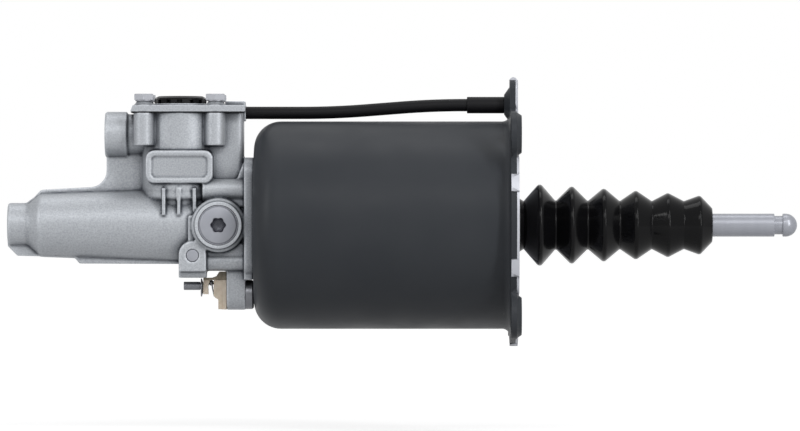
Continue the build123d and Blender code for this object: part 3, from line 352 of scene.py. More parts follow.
def melted(node, shape, voxel, rounds, keep):
    """A mass of closed forms as one casting, with all its edges and corners melted to small radii."""
    piece = linked(node + "_casting", mesh_of(node + "_casting", shape))
    remesh = piece.modifiers.new("remesh", "REMESH")
    remesh.mode = "VOXEL"
    remesh.voxel_size = voxel * MM
    smooth = piece.modifiers.new("smooth", "SMOOTH")
    smooth.factor = 0.5
    smooth.iterations = rounds
    fewer = piece.modifiers.new("fewer", "DECIMATE")
    fewer.ratio = keep
    settled(piece)
    piece.data.shade_smooth()
    piece.data.materials.append(aluminium)
    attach(piece, nodes[node]["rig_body"])
    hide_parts(node)
    return piece


def rounded(corners, rounds, steps=5):
    """A line through corners, with those whose numbers are in rounds made arcs of the given radius."""
    line = []
    for number, corner in enumerate(corners):
        here = Vector(corner)
        if number not in rounds:
            line.append(here)
            continue
        before = (Vector(corners[number - 1]) - here).normalized()
        after = (Vector(corners[(number + 1) % len(corners)]) - here).normalized()
        half = before.angle(after) / 2
        middle = here + (before + after).normalized() * rounds[number] / sin(half)
        start = here + before * rounds[number] / tan(half) - middle
        end = here + after * rounds[number] / tan(half) - middle
        first = atan2(start.y, start.x)
        swing = (atan2(end.y, end.x) - first + pi) % (2 * pi) - pi
        for step in range(steps + 1):
            angle = first + swing * step / steps
            line.append(middle + Vector((cos(angle), sin(angle))) * rounds[number])
    return line


ALONG = {
    "x": Matrix.Identity(4),
    "y": Matrix.Rotation(-pi / 2, 4, "Z"),
    "z": Matrix.Rotation(-pi / 2, 4, "Y"),
}
ON_AXIS = 0.001


def spin(shape, profile, axis="x", centre=(0, 0, 0), closed=False, segments=96):
    """Adds a turned form, from (along, radius) in millimetres, and the depth of its six lobes if it has
    any; along y it is counted towards -Y."""
    place = Matrix.Translation(Vector(centre)) @ ALONG[axis]
    rings = []
    for along, radius, *lobes in profile:
        ring = []
        for number in range(segments if radius > ON_AXIS else 1):
            angle = 2 * pi * number / segments
            reach = radius * (1 + (lobes[0] * cos(6 * angle) if lobes else 0))
            point = place @ Vector((along, reach * cos(angle), reach * sin(angle)))
            ring.append(shape.verts.new(point * MM))
        rings.append(ring)
    pairs = list(zip(rings, rings[1:]))
    if closed:
        pairs.append((rings[-1], rings[0]))
    for first, second in pairs:
        for number in range(segments):
            following = (number + 1) % segments
            around = [first[number % len(first)], first[following % len(first)]]
            around += [second[following % len(second)], second[number % len(second)]]
            corners = list(dict.fromkeys(around))
            if len(corners) > 2:
                shape.faces.new(corners)


def boxed(shape, low, high, slant=0.0):
    """Adds a block between two corners, its left end slanting inwards at the top."""
    block = bmesh.ops.create_cube(shape, size=1.0)["verts"]
    for vert in block:
        share = vert.co + Vector((0.5, 0.5, 0.5))
        vert.co = Vector([low[axis] + share[axis] * (high[axis] - low[axis]) for axis in range(3)]) * MM
        if share.x < 0.5 and share.z > 0.5:
            vert.co.x += slant * MM


VALVE_X = -183.3
TOWER_LOW_Z = 13.6
TOWER_LEDGE_Z = 22.0
TOWER_LEDGE_R = 20.8
casting_bars = [
    ("x", 13.2, -256, -141.5, 0, 0),        # fills the plunger's bore
    ("z", 16.1, 29.5, 59.8, VALVE_X, 0),    # fills the control valve's bore
    ("z", 7.5, 19.6, 31, VALVE_X, 0),       # fills the relay piston's bore
    ("x", 5.9, -171, -147.6, -15.8, 19.0),  # thickens the upper screw channel on the seen side
]
casting_mass = filled(casting_bars)
casting_mass.from_mesh(nodes["housing"].data)
boxed(casting_mass, (-152.8, -17, 24), (-147.2, 17, 33.2), 3.6)  # web beside the joint plate
boxed(casting_mass, (-148.5, -21, -29.4), (-143.8, 21, -20))     # foot of the joint plate
ledge = [(TOWER_LOW_Z, 0), (TOWER_LOW_Z, TOWER_LEDGE_R), (TOWER_LEDGE_Z, TOWER_LEDGE_R), (TOWER_LEDGE_Z, 0)]
spin(casting_mass, rounded(ledge, {1: 2.6}), "z", (VALVE_X, 0, 0))
bmesh.ops.recalc_face_normals(casting_mass, faces=casting_mass.faces)
bmesh.ops.remove_doubles(casting_mass, verts=casting_mass.verts, dist=WELD)
casting = melted("housing", casting_mass, voxel=0.55, rounds=3, keep=0.42)


# Machined ports
# The hydraulic port and the air port are bored, faced and tapped after casting, so their faces and
# threads are clean turned metal.

def finished(name, shape, material, body, replaced=(), crease=30.0):
    """Makes a piece of a mesh in the making: outward faces, smooth between its sharp edges."""
    bmesh.ops.recalc_face_normals(shape, faces=shape.faces)
    mesh = mesh_of(name, shape)
    mesh.shade_smooth()
    mesh.set_sharp_from_angle(angle=radians(crease))
    mesh.materials.append(material)
    piece = linked(name, mesh)
    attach(piece, body)
    if replaced:
        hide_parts(*replaced)
    return piece


def turned(name, profile, material, body, slot, replaced=(), crease=30.0, **place):
    """A piece spun from one profile."""
    shape = bmesh.new()
    spin(shape, profile, **place)
    finished(name, shape, material, body, replaced, crease)


def machined_aluminium():
    """Aluminium faced on a lathe."""
    metal = shader("machined_aluminium", (0.42, 0.43, 0.45), 0.34, 0.6, Specular_IOR_Level=0.2)
    spread(metal, noise(metal, 0.0008, 2.0), 0.30, 0.40)
    return metal


machined = machined_aluminium()


def threaded_port(name, face_x, centre_z, mouth_r, core_r, pitch, depth, bottom_r, spot_r):
    """Spot-faced mouth, chamfer, thread and drilled bottom of a port that opens towards -X."""
    proud = 0.05
    chamfer = 0.9
    wall = 0.6
    drilled = 5.0
    line = [(face_x - proud, spot_r), (face_x - proud, mouth_r + chamfer), (face_x + chamfer, mouth_r)]
    for turn in range(int((depth - 2.0) / pitch)):
        start = face_x + 1.0 + turn * pitch
        line += [(start + pitch * 0.1, mouth_r - 0.05), (start + pitch * 0.5, core_r)]
        line += [(start + pitch * 0.62, core_r)]
    end_x = face_x + depth
    line += [(end_x, core_r), (end_x + wall, core_r - wall), (end_x + 0.8, bottom_r)]
    line += [(end_x + drilled, bottom_r), (end_x + drilled, bottom_r + 0.5), (end_x + wall, core_r + 0.7)]
    line += [(face_x + wall, mouth_r + wall), (face_x + 0.35, spot_r)]
    place = {"centre": (0, 0, centre_z), "closed": True}
    turned(name, line, machined, "housing", "cast_aluminium", crease=20.0, **place)


THREAD = {"pitch": 1.5, "depth": 14.0}
threaded_port(
    "hydraulic_port_thread", -276.4, 0.0, mouth_r=6.0, core_r=5.2, bottom_r=2.1, spot_r=9.6, **THREAD
)
threaded_port("air_port_thread", -223.9, 48.9, mouth_r=8.0, core_r=7.2, bottom_r=4.4, spot_r=10.2, **THREAD)


# Side plug
# The cross bore beside the gland is closed by a zinc-plated plug with a six-lobe socket and a sealing
# ring under its head. The ear's cross hole has a small plug pressed flush with the casting.

def plug_steel():
    """Plated steel, faintly clouded, with painted shade in the socket."""
    metal = shader("plug_steel", (0.34, 0.345, 0.385), 0.42, 0.35, Specular_IOR_Level=0.2)
    tree = metal.node_tree
    painted_shade = add(tree, "ShaderNodeAmbientOcclusion", {"Distance": 5.0 * MM}, samples=8).outputs["AO"]
    tint(metal, noise(metal, 0.01, 2.0), (0.29, 0.30, 0.335), (0.33, 0.34, 0.375))
    # Occlusion darkens the socket and other recesses as painted shade.
    tint(metal, painted_shade, (0.05, 0.05, 0.08), (1.0, 1.0, 1.0), 0.45, 0.95)
    spread(metal, noise(metal, 0.001), 0.38, 0.48)
    return metal


PLUG_X = -162.3
PLUG_FACE = 26.9
PLUG_RIM_R = 10.8
PLUG_SHANK_R = 9.38
LOBES = 0.08
BOSS_FACE = PLUG_FACE - 0.5
plugged = plug_steel()
plug_line = [
    (PLUG_FACE - 6.4, 0), (PLUG_FACE - 5.4, 1.8, 0.05), (PLUG_FACE - 5.2, 3.8, LOBES),
    (PLUG_FACE - 0.2, 3.9, LOBES), (PLUG_FACE, 4.1, LOBES), (PLUG_FACE, 9.3), (PLUG_FACE - 0.12, 9.6),
    (PLUG_FACE - 0.7, 10.1), (PLUG_FACE - 0.7, 10.6), (PLUG_FACE - 1.0, PLUG_RIM_R),
    (PLUG_FACE - 1.6, PLUG_RIM_R), (PLUG_FACE - 1.6, PLUG_SHANK_R), (18.0, PLUG_SHANK_R), (18.0, 0),
]
turned(
    "screw_plug_lobed", plug_line, plugged, "housing", "plug_steel", ["screw_plug"],
    axis="y", centre=(PLUG_X, 0, 0),
)
face_line = [(PLUG_FACE - 2.6, 10.9), (BOSS_FACE, 10.9), (BOSS_FACE, 12.7), (PLUG_FACE - 5.5, 12.7)]
turned(
    "plug_boss_face", rounded(face_line, {2: 0.4}), aluminium, "housing", "cast_aluminium",
    axis="y", centre=(PLUG_X, 0, 0), closed=True,
)
gallery = [vertex.co / MM for vertex in nodes["gallery_plug"].data.vertices]
low, high = [Vector([pick(point[axis] for point in gallery) for axis in range(3)]) for pick in (min, max)]
gallery_r = (high.x - low.x) / 2
gallery_line = [(-high.y, 0), (-high.y, gallery_r), (-low.y, gallery_r), (-low.y, 0)]
gallery_line = rounded(gallery_line, {2: 0.5})
turned(
    "gallery_plug_pressed", gallery_line, plugged, "housing", "plug_steel", ["gallery_plug"],
    axis="y", centre=((low.x + high.x) / 2, 0, (low.z + high.z) / 2),
)


def seal_rubber():
    """Matt black rubber."""
    rubber = shader("seal_rubber", (0.012, 0.012, 0.012), 0.6)
    relief(rubber, noise(rubber, 0.0006), 0.00001, 0.4)
    return rubber


seal = seal_rubber()
carried("plug_seal", seal)


# Valve cover
# The control valve is closed by a cast cover on a fibre gasket, held by four M6 hex screws. Its right
# end is raised over the air passage and ends in the nose of the breather tube.

COVER_LEFT = -209.7
COVER_RIGHT = -148.0
COVER_LOW_Z = 61.1
COVER_HIGH_Z = 64.5
CAP_SEAT_Z = 65.55
COVER_SEAT_Z = 66.7
COVER_HALF_DEPTH = 22.4
VENT_R = 8.6
SCREW_HOLE_R = 3.3
NIPPLE_R = 2.3
TUBE_LOW_Z = 60.6
CUT_LOW_Z = 60.0
CUT_HIGH_Z = 68.0
SCREW_PLACES = [(VALVE_X + x, y) for x in (-19.2, 19.2) for y in (-17.0, 17.0)]


def cutter(places, radius):
    """Upright round bars through the cover, as one object for cutting."""
    shape = filled([("z", radius, CUT_LOW_Z, CUT_HIGH_Z, x, y) for x, y in places])
    return linked("cutter", mesh_of("cutter", shape))


step_z = COVER_LOW_Z + 0.5
cover_mass = bmesh.new()
plate_low = (COVER_LEFT, -COVER_HALF_DEPTH, COVER_LOW_Z)
plate_high = (COVER_RIGHT, COVER_HALF_DEPTH, COVER_HIGH_Z)
boxed(cover_mass, plate_low, plate_high, 1.4)
boxed(cover_mass, (COVER_RIGHT - 10.9, -12, step_z), (COVER_RIGHT - 0.3, 12, COVER_SEAT_Z))  # raised end
boxed(cover_mass, (COVER_RIGHT - 6, -6, 56.1), (COVER_RIGHT, 6, step_z))                     # nose
pad_line = [(61.4, 0), (61.4, 5.1), (64.6, 5.4), (65.2, 4.7), (65.9, 4.15)]
pad_line += [(COVER_SEAT_Z, 3.9), (COVER_SEAT_Z, 0)]
for x, y in SCREW_PLACES:
    spin(cover_mass, pad_line, "z", (x, y, 0), segments=48)
boss_line = [(62.0, 0), (62.0, 15.6), (65.2, 15.6), (CAP_SEAT_Z, 15.2), (CAP_SEAT_Z, 0)]
spin(cover_mass, boss_line, "z", (VALVE_X, 0, 0))
nipple_line = [(-149.0, 0), (-149.0, NIPPLE_R), (-136.1, NIPPLE_R), (-136.1, 0)]
spin(cover_mass, nipple_line, "x", (0, 0, TUBE_LOW_Z), segments=32)
bmesh.ops.recalc_face_normals(cover_mass, faces=cover_mass.faces)
cover_casting = melted("valve_cover", cover_mass, voxel=0.32, rounds=2, keep=0.5)
holes = [cutter([(VALVE_X, 0)], VENT_R), cutter(SCREW_PLACES, SCREW_HOLE_R)]
for hole in holes:
    drill = cover_casting.modifiers.new("hole", "BOOLEAN")
    drill.operation = "DIFFERENCE"
    drill.object = hole
    drill.solver = "EXACT"
settled(cover_casting)
for hole in holes:
    bpy.data.objects.remove(hole)
cover_casting.data.set_sharp_from_angle(angle=radians(50))


def gasket_fibre():
    """Dark pressed fibre."""
    fibre = shader("gasket_fibre", (0.035, 0.036, 0.038), 0.8)
    tint(fibre, noise(fibre, 0.0008, 3.0), (0.025, 0.026, 0.028), (0.05, 0.05, 0.052))
    return fibre


carried("valve_gasket", gasket_fibre())


def new_tree(name, numbers, **kinds):
    """An empty Geometry Nodes tree with named inputs, after its points, and one geometry output."""
    tree = bpy.data.node_groups.new(name, "GeometryNodeTree")
    tree.interface.new_socket("Points", in_out="INPUT", socket_type="NodeSocketGeometry")
    for key, kind in (dict.fromkeys(numbers, "Float") | kinds).items():
        tree.interface.new_socket(key, in_out="INPUT", socket_type="NodeSocket" + kind)
    tree.interface.new_socket("Material", in_out="INPUT", socket_type="NodeSocketMaterial")
    tree.interface.new_socket("Geometry", in_out="OUTPUT", socket_type="NodeSocketGeometry")
    given = tree.nodes.new("NodeGroupInput").outputs
    tree.nodes.new("NodeGroupOutput")
    return tree, given


def vector(tree, x=0.0, y=0.0, z=0.0):
    """A vector of three numbers, nodes or sockets."""
    return add(tree, "ShaderNodeCombineXYZ", {0: x, 1: y, 2: z})


def moved(tree, geometry, offset, turn=(0, 0, 0)):
    """Geometry turned and then moved."""
    return add(tree, "GeometryNodeTransform", {"Geometry": geometry, "Translation": offset, "Rotation": turn})


def ends_in(tree, geometry, given):
    """Makes instances real, gives them the material and sends them out."""
    real = add(tree, "GeometryNodeRealizeInstances", {"Geometry": geometry})
    dressed = add(tree, "GeometryNodeSetMaterial", {"Geometry": real, "Material": given["Material"]})
    tree.links.new(dressed.outputs[0], tree.nodes["Group Output"].inputs[0])


def at_points(tree, geometry, given):
    """Sets geometry at the tree's points, turned by its Turn input if it has one, and ends there."""
    inputs = {"Points": given["Points"], "Instance": geometry}
    if "Turn" in given:
        inputs["Rotation"] = given["Turn"]
    ends_in(tree, add(tree, "GeometryNodeInstanceOnPoints", inputs), given)
    return tree


def grown(name, tree, points, sizes, material, body, replaced=(), crease=30.0):
    """Runs a tree on loose points, in millimetres, and keeps what it makes as a plain piece."""
    mesh = bpy.data.meshes.new(name)
    mesh.from_pydata([Vector(point) * MM for point in points], [], [])
    maker = linked(name + "_maker", mesh)
    modifier = maker.modifiers.new("grow", "NODES")
    modifier.node_group = tree
    sizes = dict(sizes, Material=material)
    for item in tree.interface.items_tree:
        if item.in_out == "INPUT" and item.name in sizes:
            modifier[item.identifier] = sizes[item.name]
    settled(maker)
    shape = bmesh.new()
    shape.from_mesh(maker.data)
    bpy.data.objects.remove(maker)
    bmesh.ops.remove_doubles(shape, verts=shape.verts, dist=WELD)
    return finished(name, shape, material, body, replaced, crease)


def screw_tree():
    """Hex screws at given points: a prism, cut by a cone for its bevelled corners, and a shank."""
    top_share = 0.95
    bevel = radians(30)
    tree, given = new_tree("hex_screws", ["Flats", "Head", "Shank Radius", "Shank Length"], Turn="Vector")
    half = calc(tree, "MULTIPLY", given["Flats"], 0.5)
    corner = calc(tree, "DIVIDE", half, cos(pi / 6))
    middle = vector(tree, z=calc(tree, "MULTIPLY", given["Head"], 0.5))
    prism = add(tree, "GeometryNodeMeshCylinder", {"Vertices": 6, "Radius": corner, "Depth": given["Head"]})
    prism = moved(tree, prism, middle, (0, 0, pi / 6))
    top_r = calc(tree, "MULTIPLY", half, top_share)
    foot_r = calc(tree, "MULTIPLY_ADD", given["Head"], 1 / tan(bevel), top_r)
    cone = add(
        tree, "GeometryNodeMeshCone",
        {"Vertices": 64, "Radius Top": top_r, "Radius Bottom": foot_r, "Depth": given["Head"]},
    )
    cone = moved(tree, cone, vector(tree))
    head = add(tree, "GeometryNodeMeshBoolean", {1: [prism, cone]}, operation="INTERSECT", solver="EXACT")
    shank = add(
        tree, "GeometryNodeMeshCylinder",
        {"Vertices": 32, "Radius": given["Shank Radius"], "Depth": given["Shank Length"]},
    )
    shank = moved(tree, shank, vector(tree, z=calc(tree, "MULTIPLY", given["Shank Length"], -0.5)))
    screw = add(tree, "GeometryNodeJoinGeometry", {0: [head, shank]})
    return at_points(tree, screw, given)


def washer_tree():
    """Flat washers at given points."""
    tree, given = new_tree("washers", ["Outer Radius", "Hole Radius", "Thickness"], Turn="Vector")
    disc = add(
        tree, "GeometryNodeMeshCylinder",
        {"Vertices": 48, "Radius": given["Outer Radius"], "Depth": given["Thickness"]},
    )
    through = {"Vertices": 48, "Radius": given["Hole Radius"], "Depth": 100 * MM}
    hole = add(tree, "GeometryNodeMeshCylinder", through)
    ring = add(tree, "GeometryNodeMeshBoolean", {0: disc, 1: hole}, operation="DIFFERENCE", solver="EXACT")
    ring = moved(tree, ring, vector(tree, z=calc(tree, "MULTIPLY", given["Thickness"], 0.5)))
    return at_points(tree, ring, given)


def screw_steel():
    """Zinc-plated screws, duller than the cover's sheet."""
    metal = shader("screw_steel", (0.34, 0.35, 0.38), 0.45, 0.35, Specular_IOR_Level=0.2)
    tint(metal, noise(metal, 0.02, 3.0), (0.33, 0.34, 0.37), (0.37, 0.38, 0.41))
    spread(metal, noise(metal, 0.01), 0.42, 0.5)
    return metal


plated = screw_steel()
screws = screw_tree()
washers = washer_tree()
M6_SCREW = {"Flats": 10.0 * MM, "Head": 3.3 * MM, "Shank Radius": 3.0 * MM, "Shank Length": 18.0 * MM}
WASHER = 0.6
grown(
    "cover_screws_hex", screws, [(x, y, COVER_SEAT_Z + WASHER) for x, y in SCREW_PLACES], M6_SCREW,
    plated, "housing", ["cover_screws"],
)
grown(
    "cover_washers_flat", washers, [(x, y, COVER_SEAT_Z) for x, y in SCREW_PLACES],
    {"Outer Radius": 4.6 * MM, "Hole Radius": 3.1 * MM, "Thickness": WASHER * MM},
    plated, "housing", ["cover_washers"],
)


# Exhaust cap
# A snapped-in black plastic cap keeps dirt out of the valve's exhaust. The air leaves through the slots
# round its rim.

def moulded_black():
    """Black moulded plastic, slightly grained."""
    plastic = shader("moulded_black", (0.005, 0.005, 0.006), 0.38, Specular_IOR_Level=0.16)
    spread(plastic, noise(plastic, 0.001), 0.36, 0.5)
    relief(plastic, noise(plastic, 0.0005), 0.00001, 0.4)
    return plastic


def cap_tree():
    """A ring of teeth round a drum, under a rim and a flat dome."""
    teeth_share = 0.62
    rim_share = 0.14
    dome_share = 0.3
    top_share = 0.84
    numbers = ["Radius", "Height", "Tooth Width", "Tooth Depth"]
    tree, given = new_tree("slotted_cap", numbers, Teeth="Int")
    lid_z = calc(tree, "MULTIPLY", given["Height"], teeth_share)
    ring_r = calc(tree, "MULTIPLY_ADD", given["Tooth Depth"], -0.5, given["Radius"])
    ring = add(tree, "GeometryNodeMeshCircle", {"Vertices": given["Teeth"], "Radius": ring_r})
    size = vector(tree, given["Tooth Depth"], given["Tooth Width"], lid_z)
    tooth = add(tree, "GeometryNodeMeshCube", {"Size": size})
    place = add(tree, "GeometryNodeInputPosition")
    outward = add(tree, "FunctionNodeAlignRotationToVector", {"Vector": place}, axis="X")
    inputs = {"Points": ring, "Instance": tooth, "Rotation": outward}
    teeth = add(tree, "GeometryNodeInstanceOnPoints", inputs)
    teeth = moved(tree, teeth, vector(tree, z=calc(tree, "MULTIPLY", lid_z, 0.5)))
    drum_r = calc(tree, "SUBTRACT", given["Radius"], given["Tooth Depth"])
    drum = add(tree, "GeometryNodeMeshCylinder", {"Vertices": 64, "Radius": drum_r, "Depth": lid_z})
    drum = moved(tree, drum, vector(tree, z=calc(tree, "MULTIPLY", lid_z, 0.5)))
    rim_h = calc(tree, "MULTIPLY", given["Height"], rim_share)
    rim = add(tree, "GeometryNodeMeshCylinder", {"Vertices": 96, "Radius": given["Radius"], "Depth": rim_h})
    rim = moved(tree, rim, vector(tree, z=lid_z))
    dome_h = calc(tree, "MULTIPLY", given["Height"], dome_share)
    top_r = calc(tree, "MULTIPLY", given["Radius"], top_share)
    inputs = {"Vertices": 96, "Radius Top": top_r, "Radius Bottom": given["Radius"], "Depth": dome_h}
    dome = add(tree, "GeometryNodeMeshCone", inputs)
    dome = moved(tree, dome, vector(tree, z=calc(tree, "ADD", lid_z, rim_h)))
    whole = add(tree, "GeometryNodeJoinGeometry", {0: [teeth, drum, rim, dome]})
    return at_points(tree, whole, given)


grown(
    "exhaust_cap_slotted", cap_tree(), [(VALVE_X, 0, CAP_SEAT_Z)],
    {"Radius": 14.0 * MM, "Height": 3.8 * MM, "Teeth": 14, "Tooth Width": 3.6 * MM, "Tooth Depth": 2.2 * MM},
    moulded_black(), "housing", ["exhaust_cap"],
)


# Breather tube
# A stiff plastic tube carries clean air from the valve cover to the duct of the cylinder's top tab. It
# is pushed on the cover's nose at one end and held by a close sleeve at the other.

TUBE_R = 3.35
TUBE_WALL = 1.0
TUBE_START_X = -147.9
TUBE_END_X = -5.6
TUBE_HIGH_Z = 64.8
BEND_R = 444.0
AROUND = 40
SLEEVE_START_X = -28.65
SLEEVE_END_X = -8.65
SLEEVE_R = 4.45
SLEEVE_BORE_R = 3.4


def tube_plastic():
    """Matt black polyamide."""
    plastic = shader("tube_plastic", (0.005, 0.005, 0.006), 0.46, Specular_IOR_Level=0.12)
    spread(plastic, noise(plastic, 0.01, stretch=(0.2, 1, 1)), 0.44, 0.56)
    return plastic


def bent_tube(name, route, material, replaced):
    """A tube of round section along a route of (x, z) points."""
    shape = bmesh.new()
    walls = []
    for radius in (TUBE_R, TUBE_R - TUBE_WALL):
        rings = []
        for number, point in enumerate(route):
            ahead = route[min(number + 1, len(route) - 1)] - route[max(number - 1, 0)]
            upward = Vector((-ahead.y, ahead.x)).normalized()
            ring = []
            for step in range(AROUND):
                angle = 2 * pi * step / AROUND
                lift = upward * radius * cos(angle)
                place = Vector((point.x + lift.x, radius * sin(angle), point.y + lift.y))
                ring.append(shape.verts.new(place * MM))
            rings.append(ring)
        walls.append(rings)
    outer, inner = walls
    pairs = list(zip(outer, outer[1:])) + list(zip(inner, inner[1:]))
    pairs += [(outer[0], inner[0]), (outer[-1], inner[-1])]
    for first, second in pairs:
        for step in range(AROUND):
            after = (step + 1) % AROUND
            shape.faces.new((first[step], first[after], second[after], second[step]))
    finished(name, shape, material, "housing", replaced)


middle_x = (TUBE_START_X + TUBE_END_X) / 2
low_bend = (middle_x - 24, TUBE_LOW_Z)
high_bend = (middle_x + 30, TUBE_HIGH_Z)
tube_corners = [(TUBE_START_X, TUBE_LOW_Z), low_bend, high_bend, (TUBE_END_X, TUBE_HIGH_Z)]
polyamide = tube_plastic()
tube_route = rounded(tube_corners, {1: BEND_R, 2: BEND_R}, 16)
bent_tube("breather_tube", tube_route, polyamide, ["air_tube"])
sleeve_line = [
    (SLEEVE_START_X, SLEEVE_BORE_R), (SLEEVE_START_X, SLEEVE_R), (SLEEVE_END_X, SLEEVE_R),
    (SLEEVE_END_X, SLEEVE_BORE_R),
]
sleeve_line = rounded(sleeve_line, {1: 0.35, 2: 0.25})
turned(
    "breather_sleeve", sleeve_line, polyamide, "housing", "tube_plastic", ["tube_sleeve"],
    centre=(0, 0, TUBE_HIGH_Z), closed=True,
)


# Bleed fitting
# Under the housing sits the bleed valve: a moulded body on a disc against the lug, with a strap and a
# collar that carry its steel pin. A thin dished washer hangs on the pin beside the collar.

LUG_Y = -8.0
PIN_Z = -32.7


def beige_nylon():
    """Natural glass-filled nylon, a little mottled."""
    nylon = shader("beige_nylon", (0.66, 0.56, 0.45), 0.5, Subsurface_Weight=0.05)
    tint(nylon, noise(nylon, 0.003, 3.0), (0.60, 0.50, 0.39), (0.72, 0.62, 0.51))
    spread(nylon, noise(nylon, 0.0012), 0.42, 0.58)
    return nylon


def nylon_with_painted_shade():
    """The same nylon, made darker and browner as painted shade."""
    nylon = shader("nylon_with_painted_shade", (0.22, 0.19, 0.14), 0.45)
    tint(nylon, noise(nylon, 0.002, 3.0), (0.16, 0.13, 0.09), (0.30, 0.26, 0.19))
    return nylon


def slab(shape, corners, depth_from, depth_to):
    """Adds a plate seen in the side view, from (x, z) corners, between two depths along Y."""
    near = [shape.verts.new(Vector((x, depth_from, z)) * MM) for x, z in corners]
    far = [shape.verts.new(Vector((x, depth_to, z)) * MM) for x, z in corners]
    shape.faces.new(near)
    shape.faces.new(far[::-1])
    for number in range(len(corners)):
        after = (number + 1) % len(corners)
        shape.faces.new((near[number], near[after], far[after], far[number]))


nylon = beige_nylon()
nylon_in_painted_shade = nylon_with_painted_shade()


def moulding(name, corners, rounds, half_depth, material, replaced=(), bevel=0.2):
    """A moulded or bent piece of a side outline, level with the bleed pin, its edges bevelled."""
    shape = bmesh.new()
    slab(shape, rounded(corners, rounds), LUG_Y - half_depth, LUG_Y + half_depth)
    piece = finished(name, shape, material, "housing", replaced)
    softer = piece.modifiers.new("bevel", "BEVEL")
    softer.width = bevel * MM
    softer.segments = 2
    softer.limit_method = "ANGLE"
    softer.angle_limit = radians(40)
    settled(piece)


moulding(
    "bleed_body_moulded",
    [(-165.0, -29.6), (-165.1, -37.6), (-164.6, -38.8), (-162.6, -40.0), (-162.6, -45.2),
     (-158.15, -45.45), (-158.15, -29.6)],
    {2: 1.0, 3: 0.5}, 4.6, nylon, ["bleed_body"],
)
moulding(
    "bleed_body_seam",
    [(-160.9, -29.8), (-160.9, -45.25), (-160.5, -45.25), (-160.5, -29.8)],
    {}, 4.75, nylon, bevel=0.1,
)
moulding(
    "bleed_collar",
    [(-170.65, -28.6), (-170.75, -37.1), (-167.9, -37.2), (-168.1, -33.0), (-167.2, -30.2), (-167.4, -28.6)],
    {4: 1.5}, 3.4, nylon,
)
# The strap takes the darker copy of the nylon as painted shade.
moulding(
    "bleed_strap",
    [(-162.1, -25.0), (-163.6, -27.4), (-166.0, -28.3), (-170.7, -28.4), (-170.7, -29.6),
     (-158.15, -29.55), (-158.15, -25.0)],
    {1: 1.2, 2: 1.2}, 3.9, nylon_in_painted_shade, bevel=0.15,
)


def dark_steel():
    """Oiled steel with turning marks round the X axis."""
    metal = shader("dark_steel", (0.17, 0.175, 0.19), 0.34, 0.6, Specular_IOR_Level=0.3)
    spread(metal, noise(metal, 0.004, stretch=(8, 0.5, 0.5)), 0.28, 0.4)
    return metal


def arc(centre_x, radius, steps, first, last):
    """The outline of a ball, counted from its left end, with so many steps to the half circle."""
    angles = [pi * step / steps for step in range(first, last + 1)]
    return [(centre_x - radius * cos(angle), radius * sin(angle)) for angle in angles]


oiled = dark_steel()
PIN_R = 2.25
PIN_NECK_R = 1.9
PIN_BALL_X = -166.5
PIN_BALL_Z = -31.1
PIN_BALL_R = 1.5
pin_line = [
    (-181.3, 0), (-181.3, PIN_R), (-172.6, PIN_R), (-172.4, PIN_NECK_R), (-168.4, PIN_NECK_R), (-168.4, 0),
]
pin = bmesh.new()
spin(pin, rounded(pin_line, {1: 0.4}), centre=(0, LUG_Y, PIN_Z))
spin(pin, arc(PIN_BALL_X, PIN_BALL_R, 16, 0, 16), centre=(0, LUG_Y, PIN_BALL_Z))
finished("bleed_pin_turned", pin, oiled, "housing", ["bleed_pin"])
moulding(
    "bleed_leaf",
    [(-166.5, -31.8), (-165.9, -35.0), (-165.1, -38.4), (-164.5, -38.4), (-165.3, -35.0), (-165.7, -31.8)],
    {1: 8.0, 4: 8.0}, 2.6, oiled, bevel=0.05,
)
# This small dark steel block under the ear's right end is painted shade.
moulding(
    "bleed_painted_shade_block",
    [(-172.2, -25.2), (-172.2, -28.3), (-169.0, -28.3), (-169.0, -25.2)],
    {1: 0.4}, 3.0, oiled,
)
washer_line = rounded([(-171.6, 3.0), (-170.9, 3.0), (-171.5, 4.9), (-172.1, 4.9)], {2: 0.15, 3: 0.15}, 3)
turned(
    "bleed_washer_dished", washer_line, oiled, "housing", "dark_steel", ["bleed_washer"],
    centre=(0, LUG_Y, PIN_Z - 0.9), closed=True,
)
adapter_line = [(-152.8, 1.5), (-152.8, 5.4), (-147.9, 5.4), (-147.9, 7.85), (-144.4, 7.85)]
adapter_line = rounded(adapter_line + [(-143.55, 7.1), (-143.55, 1.5)], {3: 0.3})
turned(
    "bleed_adapter_turned", adapter_line, oiled, "housing", "dark_steel", ["bleed_adapter"],
    centre=(0, LUG_Y, -37.4), closed=True,
)


# Bolted joint with the cylinder
# Four M6 screws go from inside the cylinder into the housing, each on a sealing washer, and a rubber
# ring seals the joint face round the gland.

JOINT_PLACES = [(-140.5, y, z) for y in (-16.0, 16.0) for z in (-19.8, 19.8)]
TO_RIGHT = (0, pi / 2, 0)
grown(
    "flange_screws_hex", screws, [(x + WASHER, y, z) for x, y, z in JOINT_PLACES],
    M6_SCREW | {"Shank Length": 20.0 * MM, "Turn": TO_RIGHT},
    plated, "housing", ["flange_screws"],
)
grown(
    "flange_washers_flat", washers, JOINT_PLACES,
    {"Outer Radius": 5.3 * MM, "Hole Radius": 3.1 * MM, "Thickness": WASHER * MM, "Turn": TO_RIGHT},
    plated, "housing", ["flange_washers"],
)
carried("flange_o_ring", seal)


# Gland
# A bush guides the plunger where it leaves the housing. A lip seal beside it keeps the fluid and the
# air apart, and a snap ring holds the seal in its bore.

def white_plastic():
    """Natural acetal."""
    plastic = shader("white_plastic", (0.62, 0.61, 0.58), 0.42)
    tint(plastic, noise(plastic, 0.004), (0.58, 0.57, 0.54), (0.66, 0.65, 0.62))
    return plastic


acetal = white_plastic()
carried("guide_bush", acetal)
carried("gland_seal", seal)
carried("gland_ring", oiled)


